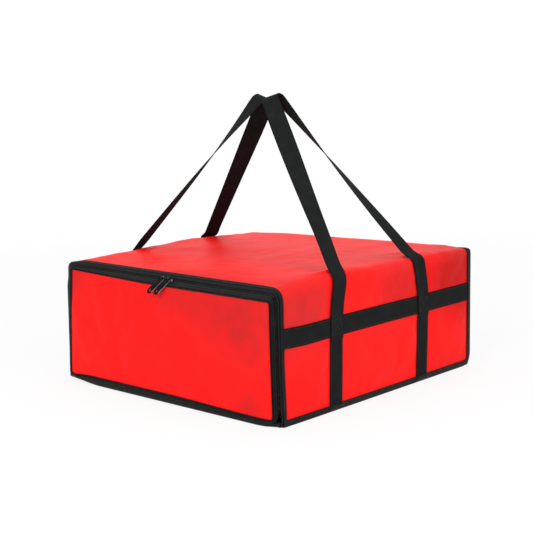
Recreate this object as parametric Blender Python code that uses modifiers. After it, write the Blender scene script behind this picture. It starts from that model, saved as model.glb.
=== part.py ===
"""Insulated pizza delivery bag: a soft box with a zipped drop-down front, side webbing and two carry handles.

Metres. +Z up, the front with the zipped flap faces -Y, +X is to the right of someone who faces the flap.
The origin lies on the floor, below the middle of the box.
"""

from math import atan2, cos, pi, radians, sin, sqrt

import bmesh
import bpy
from mathutils import Matrix, Vector

# The box
bag_width = 0.520
bag_depth = 0.538
bag_height = 0.220
top_fold_radius = 0.026
fold_steps = 8

# Sheet thicknesses, from the outside in, and the clearance between pieces
skin = 0.0010
foam = 0.0050
liner = 0.0006
gap = 0.0003

# Sewn edging
binding_thickness = 0.0010
binding_width = 0.0115
band_inset = 0.0182
flap_binding_width = 0.0106
body_binding_width = 0.0107

# The drop-down front
flap_foot_height = 0.0200
flap_corner_radius = 0.0140
hinge_strip_height = 0.0118
hinge_strip_side_inset = 0.0095

# Zip
tape_thickness = 0.0005
tape_width = 0.0085
coil_radius = 0.0007
coil_spacing = 0.0019
zip_foot_height = 0.0340
end_stop_length = 0.0030
end_stop_width = 0.0032
end_stop_thickness = 0.0012

# Sliders and their pulls
slider_left_place = 0.0020
slider_right_place = 0.0180
slider_length = 0.0110
slider_width = 0.0090
slider_plate = 0.0016
slider_edge_radius = 0.0005
bridge_length = 0.0092
bridge_width = 0.0016
bridge_height = 0.0050
bridge_wall = 0.0011
bridge_shoulder = 0.0008
pull_thickness = 0.0013
pull_length = 0.0370
pull_width = 0.0130
pull_ring_width = 0.0118
pull_ring_length = 0.0140
pull_eye_width = 0.0092
pull_eye_length = 0.0050
pull_bar = 0.0014
pull_hole_radius = 0.0018
pull_hole_inset = 0.0060
pull_corner_radius = 0.0020
pull_left_droop = radians(31.0)
pull_right_droop = radians(30.0)
pull_tilt = radians(7.0)

# Webbing
webbing_width = 0.0320
webbing_thickness = 0.0015
side_band_height = 0.1411
strap_ramp = 0.0070
strap_tail = 0.0010
strap_places = {
    "right": (-0.1225, 0.1095),
    "left": (-0.1030, 0.1130),
}

# Raised handle loops
apex_height = 0.5040
apex_half_spacing = 0.0132
apex_place = 0.0060
apex_radius = 0.0130
lean_length = 0.0800
leg_steps = 30
apex_steps = 10
twist_power_share = 1.75

# Worked out from the sizes above
half_width = bag_width / 2
front = -bag_depth / 2
back = bag_depth / 2
foam_start = skin + gap
foam_end = foam_start + foam
liner_start = foam_end + gap
liner_end = liner_start + liner
wall_foot = binding_thickness + gap
wall_front = front + band_inset + binding_thickness + gap
seam_back = back - binding_width - gap
floor_liner_foot = wall_foot + foam + gap
band_width = band_inset * sqrt(2)
zip_middle = (flap_binding_width + band_width - body_binding_width) / 2
tape_behind = binding_thickness + gap
flap_skin_inset = band_inset + binding_thickness + gap
flap_foam_inset = flap_skin_inset + binding_thickness
flap_rim_foot = flap_foot_height - band_inset
flap_rim_radius = flap_corner_radius + band_inset
slider_clear = coil_radius - gap / 2 + gap
pivot_lift = slider_clear + slider_plate + bridge_height / 2 - bridge_wall / 2
strap_flat = gap + webbing_thickness / 2
strap_over_band = gap + webbing_thickness + strap_flat
band_foot = side_band_height - webbing_width / 2
band_top = side_band_height + webbing_width / 2
strap_top = band_top + strap_tail


def collection(name):
    made = bpy.data.collections.new(name)
    bpy.context.scene.collection.children.link(made)
    return made


def finish(name, colour, roughness, metallic=0.0):
    made = bpy.data.materials.new(name)
    made.use_nodes = True
    shader = made.node_tree.nodes["Principled BSDF"]
    shader.inputs["Base Color"].default_value = (*colour, 1.0)
    shader.inputs["Roughness"].default_value = roughness
    shader.inputs["Metallic"].default_value = metallic
    return made


def add(name, data, look, group):
    piece = bpy.data.objects.new(name, data)
    data.materials.append(look)
    group.objects.link(piece)
    return piece


def arch(foot):
    """Points and outward directions in the XZ plane, up the left side, over the top and down the right."""
    path = [((-half_width, foot), (-1.0, 0.0))]
    for side in (-1, 1):
        middle_x = side * (half_width - top_fold_radius)
        middle_z = bag_height - top_fold_radius
        for step in range(fold_steps + 1):
            share = step / fold_steps
            angle = pi / 2 * (2 - share if side < 0 else 1 - share)
            out = (cos(angle), sin(angle))
            point = (middle_x + top_fold_radius * out[0], middle_z + top_fold_radius * out[1])
            path.append((point, out))
    path.append(((half_width, foot), (1.0, 0.0)))
    return path


def rim(foot, foot_radius):
    """The arch closed along the bottom, with square bottom corners where the radius is zero."""
    path = arch(foot + foot_radius)
    if foot_radius == 0.0:
        path[0] = ((-half_width, foot), (-1.0, -1.0))
        path[-1] = ((half_width, foot), (1.0, -1.0))
        return path
    for side in (1, -1):
        middle_x = side * (half_width - foot_radius)
        middle_z = foot + foot_radius
        for step in range(fold_steps + 1):
            share = step / fold_steps
            if (side > 0 and step == 0) or (side < 0 and step == fold_steps):
                continue
            angle = -pi / 2 * (share if side > 0 else 1 + share)
            out = (cos(angle), sin(angle))
            point = (middle_x + foot_radius * out[0], middle_z + foot_radius * out[1])
            path.append((point, out))
    return path


def inset(path_point, depth):
    """An outline's point moved in from the outside by a depth."""
    (x, z), (out_x, out_z) = path_point
    return x - out_x * depth, z - out_z * depth


def on_band(path_point, along, behind):
    """A point of the sloping zip band: along it from the flap's edge, and behind its outer face."""
    x, z = inset(path_point, band_inset - (along - behind) / sqrt(2))
    return Vector((x, front + (along + behind) / sqrt(2), z))


def sheet(name, rows, thickness, look, loop=False):
    """An open surface through rows of points, thickened to both sides."""
    grid = bmesh.new()
    made = [[grid.verts.new(point) for point in row] for row in rows]
    for first, second in zip(made, made[1:]):
        count = len(first) if loop else len(first) - 1
        for i in range(count):
            j = (i + 1) % len(first)
            grid.faces.new((first[i], first[j], second[j], second[i]))
    data = bpy.data.meshes.new(name)
    grid.to_mesh(data)
    grid.free()
    piece = add(name, data, look, bag)
    thick = piece.modifiers.new("thickness", "SOLIDIFY")
    thick.thickness = thickness
    thick.offset = 0.0
    thick.use_even_offset = True
    thick.use_quality_normals = True
    return piece


def wall(name, depth, thickness, foot, start, end, look):
    """A sheet folded up one side, over the top and down the other, its outer face at a depth."""
    path = arch(foot)
    middle = depth + thickness / 2
    rows = []
    for y in (start, end):
        row = []
        for path_point in path:
            x, z = inset(path_point, middle)
            row.append((x, y, z))
        rows.append(row)
    piece = sheet(name, rows, thickness, look)
    piece.data.shade_smooth()
    return piece


def upright_panel(name, path, depth, start, thickness, look):
    """A flat panel that stands across the bag, its outline the path moved in by a depth."""
    data = bpy.data.curves.new(name, "CURVE")
    data.dimensions = "2D"
    data.fill_mode = "BOTH"
    data.extrude = thickness / 2
    outline = data.splines.new("POLY")
    outline.points.add(len(path) - 1)
    outline.use_cyclic_u = True
    for point, path_point in zip(outline.points, path):
        x, z = inset(path_point, depth)
        point.co = (x, z, 0.0, 1.0)
    piece = add(name, data, look, bag)
    piece.location = (0.0, start + thickness / 2, 0.0)
    piece.rotation_euler = (pi / 2, 0.0, 0.0)
    return piece


def block(name, low, high, look, group=None, edge=0.0):
    """A box between two corners, with rounded edges where an edge radius is given."""
    bpy.ops.mesh.primitive_cube_add(size=1.0)
    piece = bpy.context.object
    for owner in list(piece.users_collection):
        owner.objects.unlink(piece)
    (group or bag).objects.link(piece)
    piece.name = name
    low, high = Vector(low), Vector(high)
    size = high - low
    piece.data.transform(Matrix.Translation((low + high) / 2) @ Matrix.Diagonal((*size, 1.0)))
    piece.data.materials.append(look)
    if edge:
        rounding = piece.modifiers.new("edges", "BEVEL")
        rounding.width = edge
        rounding.segments = 2
    return piece


def tube(name, points, radius, look):
    """A round cord through a list of points, closed at both ends."""
    data = bpy.data.curves.new(name, "CURVE")
    data.dimensions = "3D"
    data.bevel_depth = radius
    data.bevel_resolution = 2
    data.use_fill_caps = True
    line = data.splines.new("POLY")
    line.points.add(len(points) - 1)
    for point, place in zip(line.points, points):
        point.co = (*place, 1.0)
    return add(name, data, look, bag)


for old in list(bpy.data.objects):
    bpy.data.objects.remove(old, do_unlink=True)

bag = collection("pizza_delivery_bag")
cutters = collection("cutters")

red_cloth = finish("red_coated_cloth", (0.80, 0.012, 0.012), 0.45)
foil = finish("silver_foil_lining", (0.62, 0.63, 0.65), 0.30, 0.8)
white_foam = finish("white_foam_sheet", (0.82, 0.82, 0.80), 0.85)
black_tape = finish("charcoal_edge_binding", (0.016, 0.018, 0.018), 0.70)
black_webbing = finish("charcoal_webbing", (0.020, 0.022, 0.022), 0.75)
zip_black = finish("black_zip_nylon", (0.010, 0.010, 0.010), 0.50)
metal_black = finish("black_enamelled_metal", (0.020, 0.020, 0.022), 0.25, 0.9)


# The box's walls, each a skin, a foam sheet and a foil lining
def build_walls():
    skin_end = back - foam_start
    foam_back = back - liner_start
    wall("outer_wrap", 0.0, skin, wall_foot, wall_front, skin_end, red_cloth)
    wall("foam_wrap", foam_start, foam, wall_foot, wall_front, skin_end, white_foam)
    wall("liner_wrap", liner_start, liner, floor_liner_foot, wall_front, foam_back, foil)

    square_rim = rim(wall_foot, 0.0)
    upright_panel("back_outer", square_rim, 0.0, back - skin, skin, red_cloth)
    inner_rim = rim(wall_foot - liner_start, 0.0)
    upright_panel("back_foam", inner_rim, liner_start, back - foam_end, foam, white_foam)
    liner_inset = liner_end + gap
    liner_rim = rim(floor_liner_foot - liner_inset, 0.0)
    upright_panel("back_liner", liner_rim, liner_inset, back - liner_end, liner, foil)


def build_floor():
    outer_x = half_width - binding_width - gap
    foam_x = half_width - liner_start
    liner_x = half_width - liner_end - gap
    foam_top = wall_foot + foam
    foam_y = back - liner_start
    liner_y = back - liner_end - gap
    liner_top = floor_liner_foot + liner
    block("bottom_outer", (-outer_x, wall_front, 0.0), (outer_x, seam_back, skin), red_cloth)
    block("bottom_foam", (-foam_x, wall_front, wall_foot), (foam_x, foam_y, foam_top), white_foam)
    block(
        "bottom_liner",
        (-liner_x, wall_front, floor_liner_foot),
        (liner_x, liner_y, liner_top),
        foil,
    )


# The sewn edging that covers each seam
def build_bindings():
    middle = gap + binding_thickness / 2
    leg_rows = ((-middle, back - binding_width), (-middle, back + middle), (binding_width, back + middle))
    path = rim(wall_foot, 0.0)
    rows = []
    for depth, y in leg_rows:
        row = []
        for path_point in path:
            x, z = inset(path_point, depth)
            row.append((x, y, z))
        rows.append(row)
    sheet("back_binding", rows, binding_thickness, black_tape, loop=True)

    for side, label in ((-1, "left"), (1, "right")):
        outer_x = side * (half_width + middle)
        inner_x = side * (half_width - binding_width)
        level = binding_thickness / 2
        rows = [
            [(outer_x, wall_front, binding_width), (outer_x, seam_back, binding_width)],
            [(outer_x, wall_front, level), (outer_x, seam_back, level)],
            [(inner_x, wall_front, level), (inner_x, seam_back, level)],
        ]
        sheet("bottom_binding_" + label, rows, binding_thickness, black_tape)

    path = arch(wall_foot)
    behind = binding_thickness / 2
    rows = []
    for along in (band_width - body_binding_width, band_width):
        rows.append([on_band(path_point, along, behind) for path_point in path])
    sheet("front_opening_binding", rows, binding_thickness, black_tape)


# The front that drops down, with the strip of cloth that hinges it
def build_flap():
    path = rim(flap_rim_foot, flap_rim_radius)
    upright_panel("flap_outer", path, flap_skin_inset, front, skin, red_cloth)
    upright_panel("flap_foam", path, flap_foam_inset, front + foam_start, foam, white_foam)
    upright_panel("flap_liner", path, flap_foam_inset, front + liner_start, liner, foil)
    behind = binding_thickness / 2
    rows = []
    for along in (0.0, flap_binding_width):
        rows.append([on_band(path_point, along, behind) for path_point in path])
    sheet("flap_binding", rows, binding_thickness, black_tape, loop=True)

    level = binding_thickness / 2
    strip_front = front + level
    strip_back = wall_front - gap
    end_x = half_width - hinge_strip_side_inset
    rows = [
        [(-end_x, strip_front, hinge_strip_height), (end_x, strip_front, hinge_strip_height)],
        [(-end_x, strip_front, level), (end_x, strip_front, level)],
        [(-end_x, strip_back, level), (end_x, strip_back, level)],
    ]
    sheet("hinge_strip", rows, binding_thickness, black_tape)


# The zip: a tape and a coil on the flap, and the same on the body
def build_zip():
    path = arch(zip_foot_height)
    behind = tape_behind + tape_thickness / 2
    coil_behind = gap / 2
    for label, side in (("flap", -1), ("body", 1)):
        edge = zip_middle + side * gap
        far = edge + side * tape_width
        rows = []
        for along in sorted((edge, far)):
            rows.append([on_band(path_point, along, behind) for path_point in path])
        sheet("zip_tape_" + label, rows, tape_thickness, zip_black)
        coil_along = zip_middle + side * coil_spacing / 2
        route = [on_band(path_point, coil_along, coil_behind) for path_point in path]
        tube("zip_coil_" + label, route, coil_radius, zip_black)

    for label, side in (("left", -1), ("right", 1)):
        top = zip_foot_height - gap
        place = on_band(((side * half_width, top), (side, 0.0)), zip_middle, end_stop_thickness / 2)
        half = Vector((end_stop_width, end_stop_thickness, end_stop_length)) / 2
        stop = block("zip_end_stop_" + label, -half, half, metal_black)
        stop.location = (place.x, place.y, top - half.z)
        stop.rotation_euler = (0.0, 0.0, side * pi / 4)


def band_frame(x):
    """The slider's own axes on the top run: along the zip, up the sloping band, and out of it."""
    middle = (half_width, bag_height), (0.0, 1.0)
    place = on_band(middle, zip_middle, 0.0)
    up = Vector((0.0, 1.0, 1.0)).normalized()
    out = Vector((0.0, -1.0, 1.0)).normalized()
    along = Vector((1.0, 0.0, 0.0))
    frame = Matrix((along, up, out)).transposed().to_4x4()
    frame.translation = (x, place.y, place.z)
    return frame


def flat_outline(name, outlines, thickness, look, group):
    data = bpy.data.curves.new(name, "CURVE")
    data.dimensions = "2D"
    data.fill_mode = "BOTH"
    data.extrude = thickness / 2
    for points in outlines:
        line = data.splines.new("POLY")
        line.points.add(len(points) - 1)
        line.use_cyclic_u = True
        for point, (x, y) in zip(line.points, points):
            point.co = (x, y, 0.0, 1.0)
    return add(name, data, look, group)


def as_mesh(piece):
    """The same piece as a mesh, with the curve's loose caps joined to its sides."""
    bpy.context.view_layer.update()
    seen = piece.evaluated_get(bpy.context.evaluated_depsgraph_get())
    data = bpy.data.meshes.new_from_object(seen)
    joined = bmesh.new()
    joined.from_mesh(data)
    bmesh.ops.remove_doubles(joined, verts=joined.verts, dist=gap / 10)
    bmesh.ops.recalc_face_normals(joined, faces=joined.faces)
    joined.to_mesh(data)
    joined.free()
    name = piece.name
    owner = piece.users_collection[0]
    place = piece.matrix_world.copy()
    bpy.data.objects.remove(piece)
    made = bpy.data.objects.new(name, data)
    owner.objects.link(made)
    made.matrix_world = place
    return made


def arc(middle, radius, start, end, steps):
    """Points on an arc, from one angle to another."""
    points = []
    for step in range(steps + 1):
        angle = start + (end - start) * step / steps
        points.append((middle[0] + radius * cos(angle), middle[1] + radius * sin(angle)))
    return points


# Each slider is a plate on the zip with a bridge, and its pull hangs from the bridge
def build_slider(label, x):
    frame = band_frame(x)
    plate_top = slider_clear + slider_plate
    half_length, half_slider = slider_length / 2, slider_width / 2
    plate = block(
        "slider_" + label,
        (-half_length, -half_slider, slider_clear),
        (half_length, half_slider, plate_top),
        metal_black,
        edge=slider_edge_radius,
    )
    plate.matrix_world = frame

    foot = slider_clear + slider_plate / 2
    crown = plate_top + bridge_height
    reach = bridge_length / 2
    shoulder_x = reach - bridge_shoulder
    outer = [(-reach, foot), (reach, foot), (reach, crown - bridge_shoulder), (shoulder_x, crown)]
    outer += [(-shoulder_x, crown), (-reach, crown - bridge_shoulder)]
    eye_x = reach - bridge_wall
    eye_low = plate_top + bridge_wall / 2
    eye_high = crown - bridge_wall
    eye = [(-eye_x, eye_low), (eye_x, eye_low), (eye_x, eye_high), (-eye_x, eye_high)]
    bridge = flat_outline("bridge_" + label, [outer, eye], bridge_width, metal_black, cutters)
    bridge = as_mesh(bridge)
    bridge.matrix_world = frame @ Matrix.Rotation(pi / 2, 4, "X")
    bridge.hide_render = True
    bridge.display_type = "WIRE"
    union = plate.modifiers.new("bridge", "BOOLEAN")
    union.operation = "UNION"
    union.object = bridge
    return plate


def pull_frame(x, droop):
    """The pull's own axes: its hinge bar, its length towards the tip, and the normal of its flat."""
    frame = band_frame(x)
    sideways, down = sin(droop) * cos(pull_tilt), cos(droop) * cos(pull_tilt)
    length = Vector((-sideways, -down, -sin(pull_tilt)))
    bar = length.cross(Vector((0.0, 0.0, 1.0))).normalized()
    axes = Matrix((bar, length, bar.cross(length))).transposed().to_4x4()
    axes.translation = (0.0, 0.0, pivot_lift)
    return frame @ axes


def build_pull(label, x, droop):
    ring, half = pull_ring_width / 2, pull_width / 2
    top = -pull_bar / 2
    round_top = pull_corner_radius
    tip_middle = pull_length - half
    outer = arc((ring - round_top, top + round_top), round_top, -pi / 2, 0.0, 3)
    outer.append((ring, pull_ring_length))
    outer += arc((0.0, tip_middle), half, 0.0, pi, 12)
    outer.append((-ring, pull_ring_length))
    outer += arc((round_top - ring, top + round_top), round_top, pi, pi * 3 / 2, 3)
    eye = pull_eye_width / 2
    eye_top = pull_bar / 2
    slot = [(-eye, eye_top), (eye, eye_top), (eye, eye_top + pull_eye_length), (-eye, eye_top + pull_eye_length)]
    hole = arc((0.0, pull_length - pull_hole_inset), pull_hole_radius, 0.0, pi * 22 / 12, 11)
    piece = flat_outline("pull_" + label, [outer, slot, hole], pull_thickness, metal_black, bag)
    piece.matrix_world = pull_frame(x, droop)
    return piece


# Webbing sewn round each side: one level band, and an upright strap in front of each handle's foot
def build_side_webbing(label, side):
    face = side * (half_width + strap_flat)
    start = front + band_inset + gap
    rows = [
        [(face, start, band_foot), (face, start, band_top)],
        [(face, seam_back, band_foot), (face, seam_back, band_top)],
    ]
    sheet("band_" + label, rows, webbing_thickness, black_webbing)
    raised = side * (half_width + strap_over_band)
    stations = [
        (face, binding_width + gap),
        (face, band_foot - gap - strap_ramp),
        (raised, band_foot - gap),
        (raised, strap_top),
    ]
    for place, y in zip(("front", "rear"), strap_places[label]):
        rows = [[(x, y - webbing_width / 2, z), (x, y + webbing_width / 2, z)] for x, z in stations]
        sheet("strap_" + place + "_" + label, rows, webbing_thickness, black_webbing)


def side_profile():
    """The handle's line in the XZ plane on the right: up the side, over the fold, then straight to the apex."""
    radius = top_fold_radius + strap_over_band
    middle_x = half_width - top_fold_radius
    middle_z = bag_height - top_fold_radius
    reach_x, reach_z = middle_x - apex_half_spacing, apex_height - middle_z
    distance = sqrt(reach_x**2 + reach_z**2)
    lean = atan2(reach_x, reach_z) + atan2(radius, sqrt(distance**2 - radius**2))
    riser = middle_z - strap_top - gap
    arc_length = radius * lean
    leg = sqrt(distance**2 - radius**2)

    def at(u):
        if u <= riser:
            return (middle_x + radius, strap_top + gap + u), (0.0, 1.0), (1.0, 0.0)
        turn = min((u - riser) / radius, lean)
        out = (cos(turn), sin(turn))
        onward = (-sin(turn), cos(turn))
        rest = max(u - riser - arc_length, 0.0)
        point = (
            middle_x + radius * out[0] + rest * onward[0],
            middle_z + radius * out[1] + rest * onward[1],
        )
        return point, onward, out

    return at, riser + arc_length + leg


def flat_route(half_spacing, length):
    """One handle laid flat: distance up the side against distance from its middle line, front foot to rear."""
    centre = length - apex_radius
    reach = centre - lean_length / 2
    slope = half_spacing * reach - apex_radius * sqrt(half_spacing**2 + reach**2 - apex_radius**2)
    slope /= reach**2 - apex_radius**2
    angle = atan2(slope, 1.0)
    last = centre + apex_radius * sin(angle)
    leg = []
    for step in range(leg_steps + 1):
        u = last * step / leg_steps
        bent = min(u, lean_length)
        lean = slope * (bent**2 / (2 * lean_length) + u - bent)
        leg.append((u, lean - half_spacing))
    turn = arc((centre, 0.0), apex_radius, angle - pi / 2, pi / 2 - angle, apex_steps)
    return leg[:-1] + turn + [(u, -y) for u, y in reversed(leg[:-1])]


# Each handle is one length of webbing that turns a quarter on the way up and bends round at the top
def build_handle(label, side):
    at, length = side_profile()
    front_foot, rear_foot = strap_places[label]
    half_spacing = (rear_foot - front_foot) / 2
    middle = (rear_foot + front_foot) / 2
    route = flat_route(half_spacing, length)
    rows = []
    for i, (u, y) in enumerate(route):
        (x, z), onward, out = at(u)
        if i == 0 or i == len(route) - 1:
            heading = Vector((1.0 if i == 0 else -1.0, 0.0))
        else:
            heading = (Vector(route[i + 1]) - Vector(route[i - 1])).normalized()
        climb = Vector((onward[0], 0.0, onward[1]))
        outward = Vector((out[0], 0.0, out[1]))
        across = -heading.y * climb + heading.x * Vector((0.0, 1.0, 0.0))
        rise_share = min(u / (length - apex_radius), 1.0)
        twist = pi / 2 * rise_share**twist_power_share
        edge = (cos(twist) * across + sin(twist) * outward) * (webbing_width / 2)
        centre = Vector((x, middle + y + (apex_place - middle) * rise_share, z))
        row = []
        for share in (-1.0, 0.0, 1.0):
            point = centre + share * edge
            row.append((side * point.x, point.y, point.z))
        rows.append(row)
    piece = sheet("handle_" + label, rows, webbing_thickness, black_webbing)
    piece.data.shade_smooth()


build_walls()
build_floor()
build_bindings()
build_flap()
build_zip()
for slider_label, slider_place, pull_droop in (
    ("left", slider_left_place, pull_left_droop),
    ("right", slider_right_place, pull_right_droop),
):
    build_slider(slider_label, slider_place)
    build_pull(slider_label, slider_place, pull_droop)
for side_label, side_sign in (("left", -1), ("right", 1)):
    build_side_webbing(side_label, side_sign)
    build_handle(side_label, side_sign)
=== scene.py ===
# %% [markdown]
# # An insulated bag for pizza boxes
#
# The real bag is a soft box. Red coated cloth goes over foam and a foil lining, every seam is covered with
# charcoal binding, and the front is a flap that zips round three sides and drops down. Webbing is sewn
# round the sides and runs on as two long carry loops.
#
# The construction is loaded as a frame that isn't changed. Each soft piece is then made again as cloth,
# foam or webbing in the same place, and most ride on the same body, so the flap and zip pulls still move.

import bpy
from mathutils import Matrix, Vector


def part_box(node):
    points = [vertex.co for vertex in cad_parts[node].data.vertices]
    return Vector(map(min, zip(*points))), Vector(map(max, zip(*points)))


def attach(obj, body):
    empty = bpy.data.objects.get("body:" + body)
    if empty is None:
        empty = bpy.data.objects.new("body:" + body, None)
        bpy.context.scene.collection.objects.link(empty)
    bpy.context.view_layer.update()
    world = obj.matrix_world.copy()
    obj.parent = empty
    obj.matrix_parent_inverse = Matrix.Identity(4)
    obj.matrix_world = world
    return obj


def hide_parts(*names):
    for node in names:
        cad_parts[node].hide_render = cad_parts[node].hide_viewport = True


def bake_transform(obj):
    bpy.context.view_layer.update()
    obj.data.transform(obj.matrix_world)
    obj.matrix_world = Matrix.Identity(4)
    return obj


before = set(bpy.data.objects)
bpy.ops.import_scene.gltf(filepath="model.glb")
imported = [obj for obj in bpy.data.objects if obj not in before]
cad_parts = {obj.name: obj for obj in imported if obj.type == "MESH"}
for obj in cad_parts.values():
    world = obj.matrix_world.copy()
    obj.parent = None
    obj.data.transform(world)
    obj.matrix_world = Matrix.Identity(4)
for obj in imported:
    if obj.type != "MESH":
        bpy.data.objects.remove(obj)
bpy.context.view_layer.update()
print("pieces in the frame:", len(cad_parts))

# %% [markdown]
# ## Sizes
#
# Sizes could be typed again here, but they would drift from the construction. Most are read from the boxes
# of its nodes, and only what a box can't say, such as the radius of a fold, is given as a number.

# %% Sizes that the frame gives
from math import atan2, ceil, cos, pi, radians, sin, sqrt

import bmesh
import bpy
import numpy as np
from mathutils import Matrix, Vector, noise

wrap_low, wrap_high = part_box("outer_wrap")
band_low, band_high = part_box("band_right")
half_width, bag_height = wrap_high.x, wrap_high.z
wall_foot, wall_front = wrap_low.z, wrap_low.y
front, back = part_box("hinge_strip")[0].y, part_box("back_outer")[1].y
band_foot, band_top = band_low.z, band_high.z
webbing_width = band_top - band_foot
band_level = (band_foot + band_top) / 2
strap_places = {}
for label in ("left", "right"):
    ends = [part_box(f"strap_{place}_{label}") for place in ("front", "rear")]
    strap_places[label] = [(low.y + high.y) / 2 for low, high in ends]
side_signs = {"left": -1, "right": 1}
print("half width", round(half_width, 4), "height", round(bag_height, 4), "straps", strap_places)

# %% Sizes that a box can't give
fold_radius = 0.026
skin, foam, liner = 0.0010, 0.0050, 0.0006
clearance = 0.0003
foam_depth = skin + clearance
liner_depth = foam_depth + foam + clearance
lined_depth = liner_depth + liner
lining_foot = wall_foot + foam + clearance
binding = 0.0010
binding_width = 0.0115
band_inset = wall_front - front - binding - clearance
slope_width = band_inset * sqrt(2)
cloth_step = 0.006
coarse_step = 3 * cloth_step
print("zip slope", round(slope_width, 4), "cavity wall", round(lined_depth, 4))

# %% [markdown]
# ## Camera
#
# The camera comes first, because every later choice is judged through it. Its place was solved from the
# straight edges of the box, so it is given as an angle round the bag, a distance and a focal length.

# %% Camera
view_azimuth, view_elevation, view_roll = radians(42.28), radians(9.42), radians(-1.09)
view_distance = 2.272
aim_right, aim_up = -0.0041, 0.0853
focal_length = 83.5

scene = bpy.context.scene


def add_object(name, data):
    made = bpy.data.objects.new(name, data)
    scene.collection.objects.link(made)
    return made


level_right = Vector((cos(view_azimuth), sin(view_azimuth), 0.0))
toward = Vector((sin(view_azimuth), -cos(view_azimuth), 0.0)) * cos(view_elevation)
toward.z = sin(view_elevation)
level_up = toward.cross(level_right)
right = cos(view_roll) * level_right + sin(view_roll) * level_up
up = cos(view_roll) * level_up - sin(view_roll) * level_right
lens = bpy.data.cameras.new("camera")
lens.lens = focal_length
camera = add_object("camera", lens)
camera.matrix_world = Matrix((right, up, toward)).transposed().to_4x4()
aim = Vector((0.0, 0.0, bag_height / 2)) + right * aim_right + up * aim_up
camera.location = aim + toward * view_distance
scene.camera = camera
print("camera at", [round(c, 3) for c in camera.location])

# %% [markdown]
# ## Finishes
#
# A finish is a small program of nodes. Wiring them one by one hides the idea, so two helpers let Python say
# it: `Wire` stands for a socket and turns sums into Math nodes, and `Look.node` makes any other node.

# %% Shader sums as Python expressions
class Wire:
    """A shader socket that sums can be written with; each sum adds a Math node."""

    def __init__(self, look, socket):
        self.look = look
        self.socket = socket

    def maths(self, operation, first, second=0.0):
        return self.look.node("ShaderNodeMath", {"operation": operation}, {0: first, 1: second})

    def __add__(self, other):
        return self.maths("ADD", self, other)

    def __sub__(self, other):
        return self.maths("SUBTRACT", self, other)

    def __rsub__(self, other):
        return self.maths("SUBTRACT", other, self)

    def __mul__(self, other):
        return self.maths("MULTIPLY", self, other)

    def __truediv__(self, other):
        return self.maths("DIVIDE", self, other)

    def __mod__(self, other):
        return self.maths("FLOORED_MODULO", self, other)

    __radd__ = __add__
    __rmul__ = __mul__

    def floor(self):
        return self.maths("FLOOR", self)

    def wave(self):
        """One arch over each whole number: zero at its ends, one in its middle."""
        return self.maths("SINE", (self % 1.0) * pi)


class Look:
    """A finish for a piece or the room: the one way its nodes are made, and the steps finishes share."""

    def __init__(self, name, library=bpy.data.materials):
        self.owner = library.new(name)
        self.owner.use_nodes = True
        self.tree = self.owner.node_tree
        self.tree.nodes.clear()

    def node(self, kind, settings=None, sockets=None, output=0):
        made = self.tree.nodes.new(kind)
        for name, value in (settings or {}).items():
            setattr(made, name, value)
        for name, value in (sockets or {}).items():
            if isinstance(value, Wire):
                self.tree.links.new(value.socket, made.inputs[name])
            else:
                made.inputs[name].default_value = value
        return Wire(self, made.outputs[output]) if len(made.outputs) else None

    def parts(self, vector, axes):
        """The chosen coordinates of a vector: 0 is X, 1 is Y and 2 is Z."""
        return tuple(self.node("ShaderNodeSeparateXYZ", None, {0: vector}, output=axis) for axis in axes)

    def weave_axes(self, name="weave"):
        """Metres across and along the cloth, from a map that each woven piece carries."""
        return self.parts(self.node("ShaderNodeUVMap", {"uv_map": name}), (0, 1))

    def place(self):
        return self.node("ShaderNodeTexCoord", output=3)

    def cloud(self, size, detail=3.0, roughness=0.5):
        """Soft random patches of a size in metres, as a level round one half."""
        sockets = {"Vector": self.place(), "Scale": 1 / size, "Detail": detail, "Roughness": roughness}
        return self.node("ShaderNodeTexNoise", None, sockets)

    def step(self, level, low, high):
        """A level stretched so that low becomes nothing and high becomes one."""
        smoothly = {"interpolation_type": "SMOOTHSTEP"}
        return self.node("ShaderNodeMapRange", smoothly, {0: level, 1: low, 2: high})

    def kept(self, level):
        """A level kept between nothing and one."""
        return self.node("ShaderNodeClamp", None, {0: level})

    def near(self, centre, reach):
        """One at a place on the object, falling to nothing at a reach from it."""
        ends = {0: self.place(), 1: centre}
        away = self.node("ShaderNodeVectorMath", {"operation": "DISTANCE"}, ends, output=1)
        return 1 - self.step(away, 0.0, reach)

    def mix(self, share, first, second):
        settings = {"data_type": "RGBA"}
        return self.node("ShaderNodeMix", settings, {0: share, 6: first, 7: second}, output=2)

    def bump(self, height, distance, strength, over=None):
        sockets = {"Height": height, "Distance": distance, "Strength": strength}
        if over:
            sockets["Normal"] = over
        return self.node("ShaderNodeBump", None, sockets)

    def seen(self):
        """One for what the camera sees, also in a mirror or through glass, and nothing for other rays."""
        kinds = ("Is Camera Ray", "Is Glossy Ray", "Is Transmission Ray")
        rays = sum(self.node("ShaderNodeLightPath", output=kind) for kind in kinds)
        return rays.maths("MINIMUM", rays, 1.0)

    def done(self, **sockets):
        """Ends the finish with a Principled shader; its sockets are named with underscores for spaces."""
        named = {name.replace("_", " "): value for name, value in sockets.items()}
        shader = self.node("ShaderNodeBsdfPrincipled", None, named)
        self.node("ShaderNodeOutputMaterial", None, {"Surface": shader})
        return self.owner


def colour(red, green, blue):
    return (red, green, blue, 1.0)


print("shader helpers ready")
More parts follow.
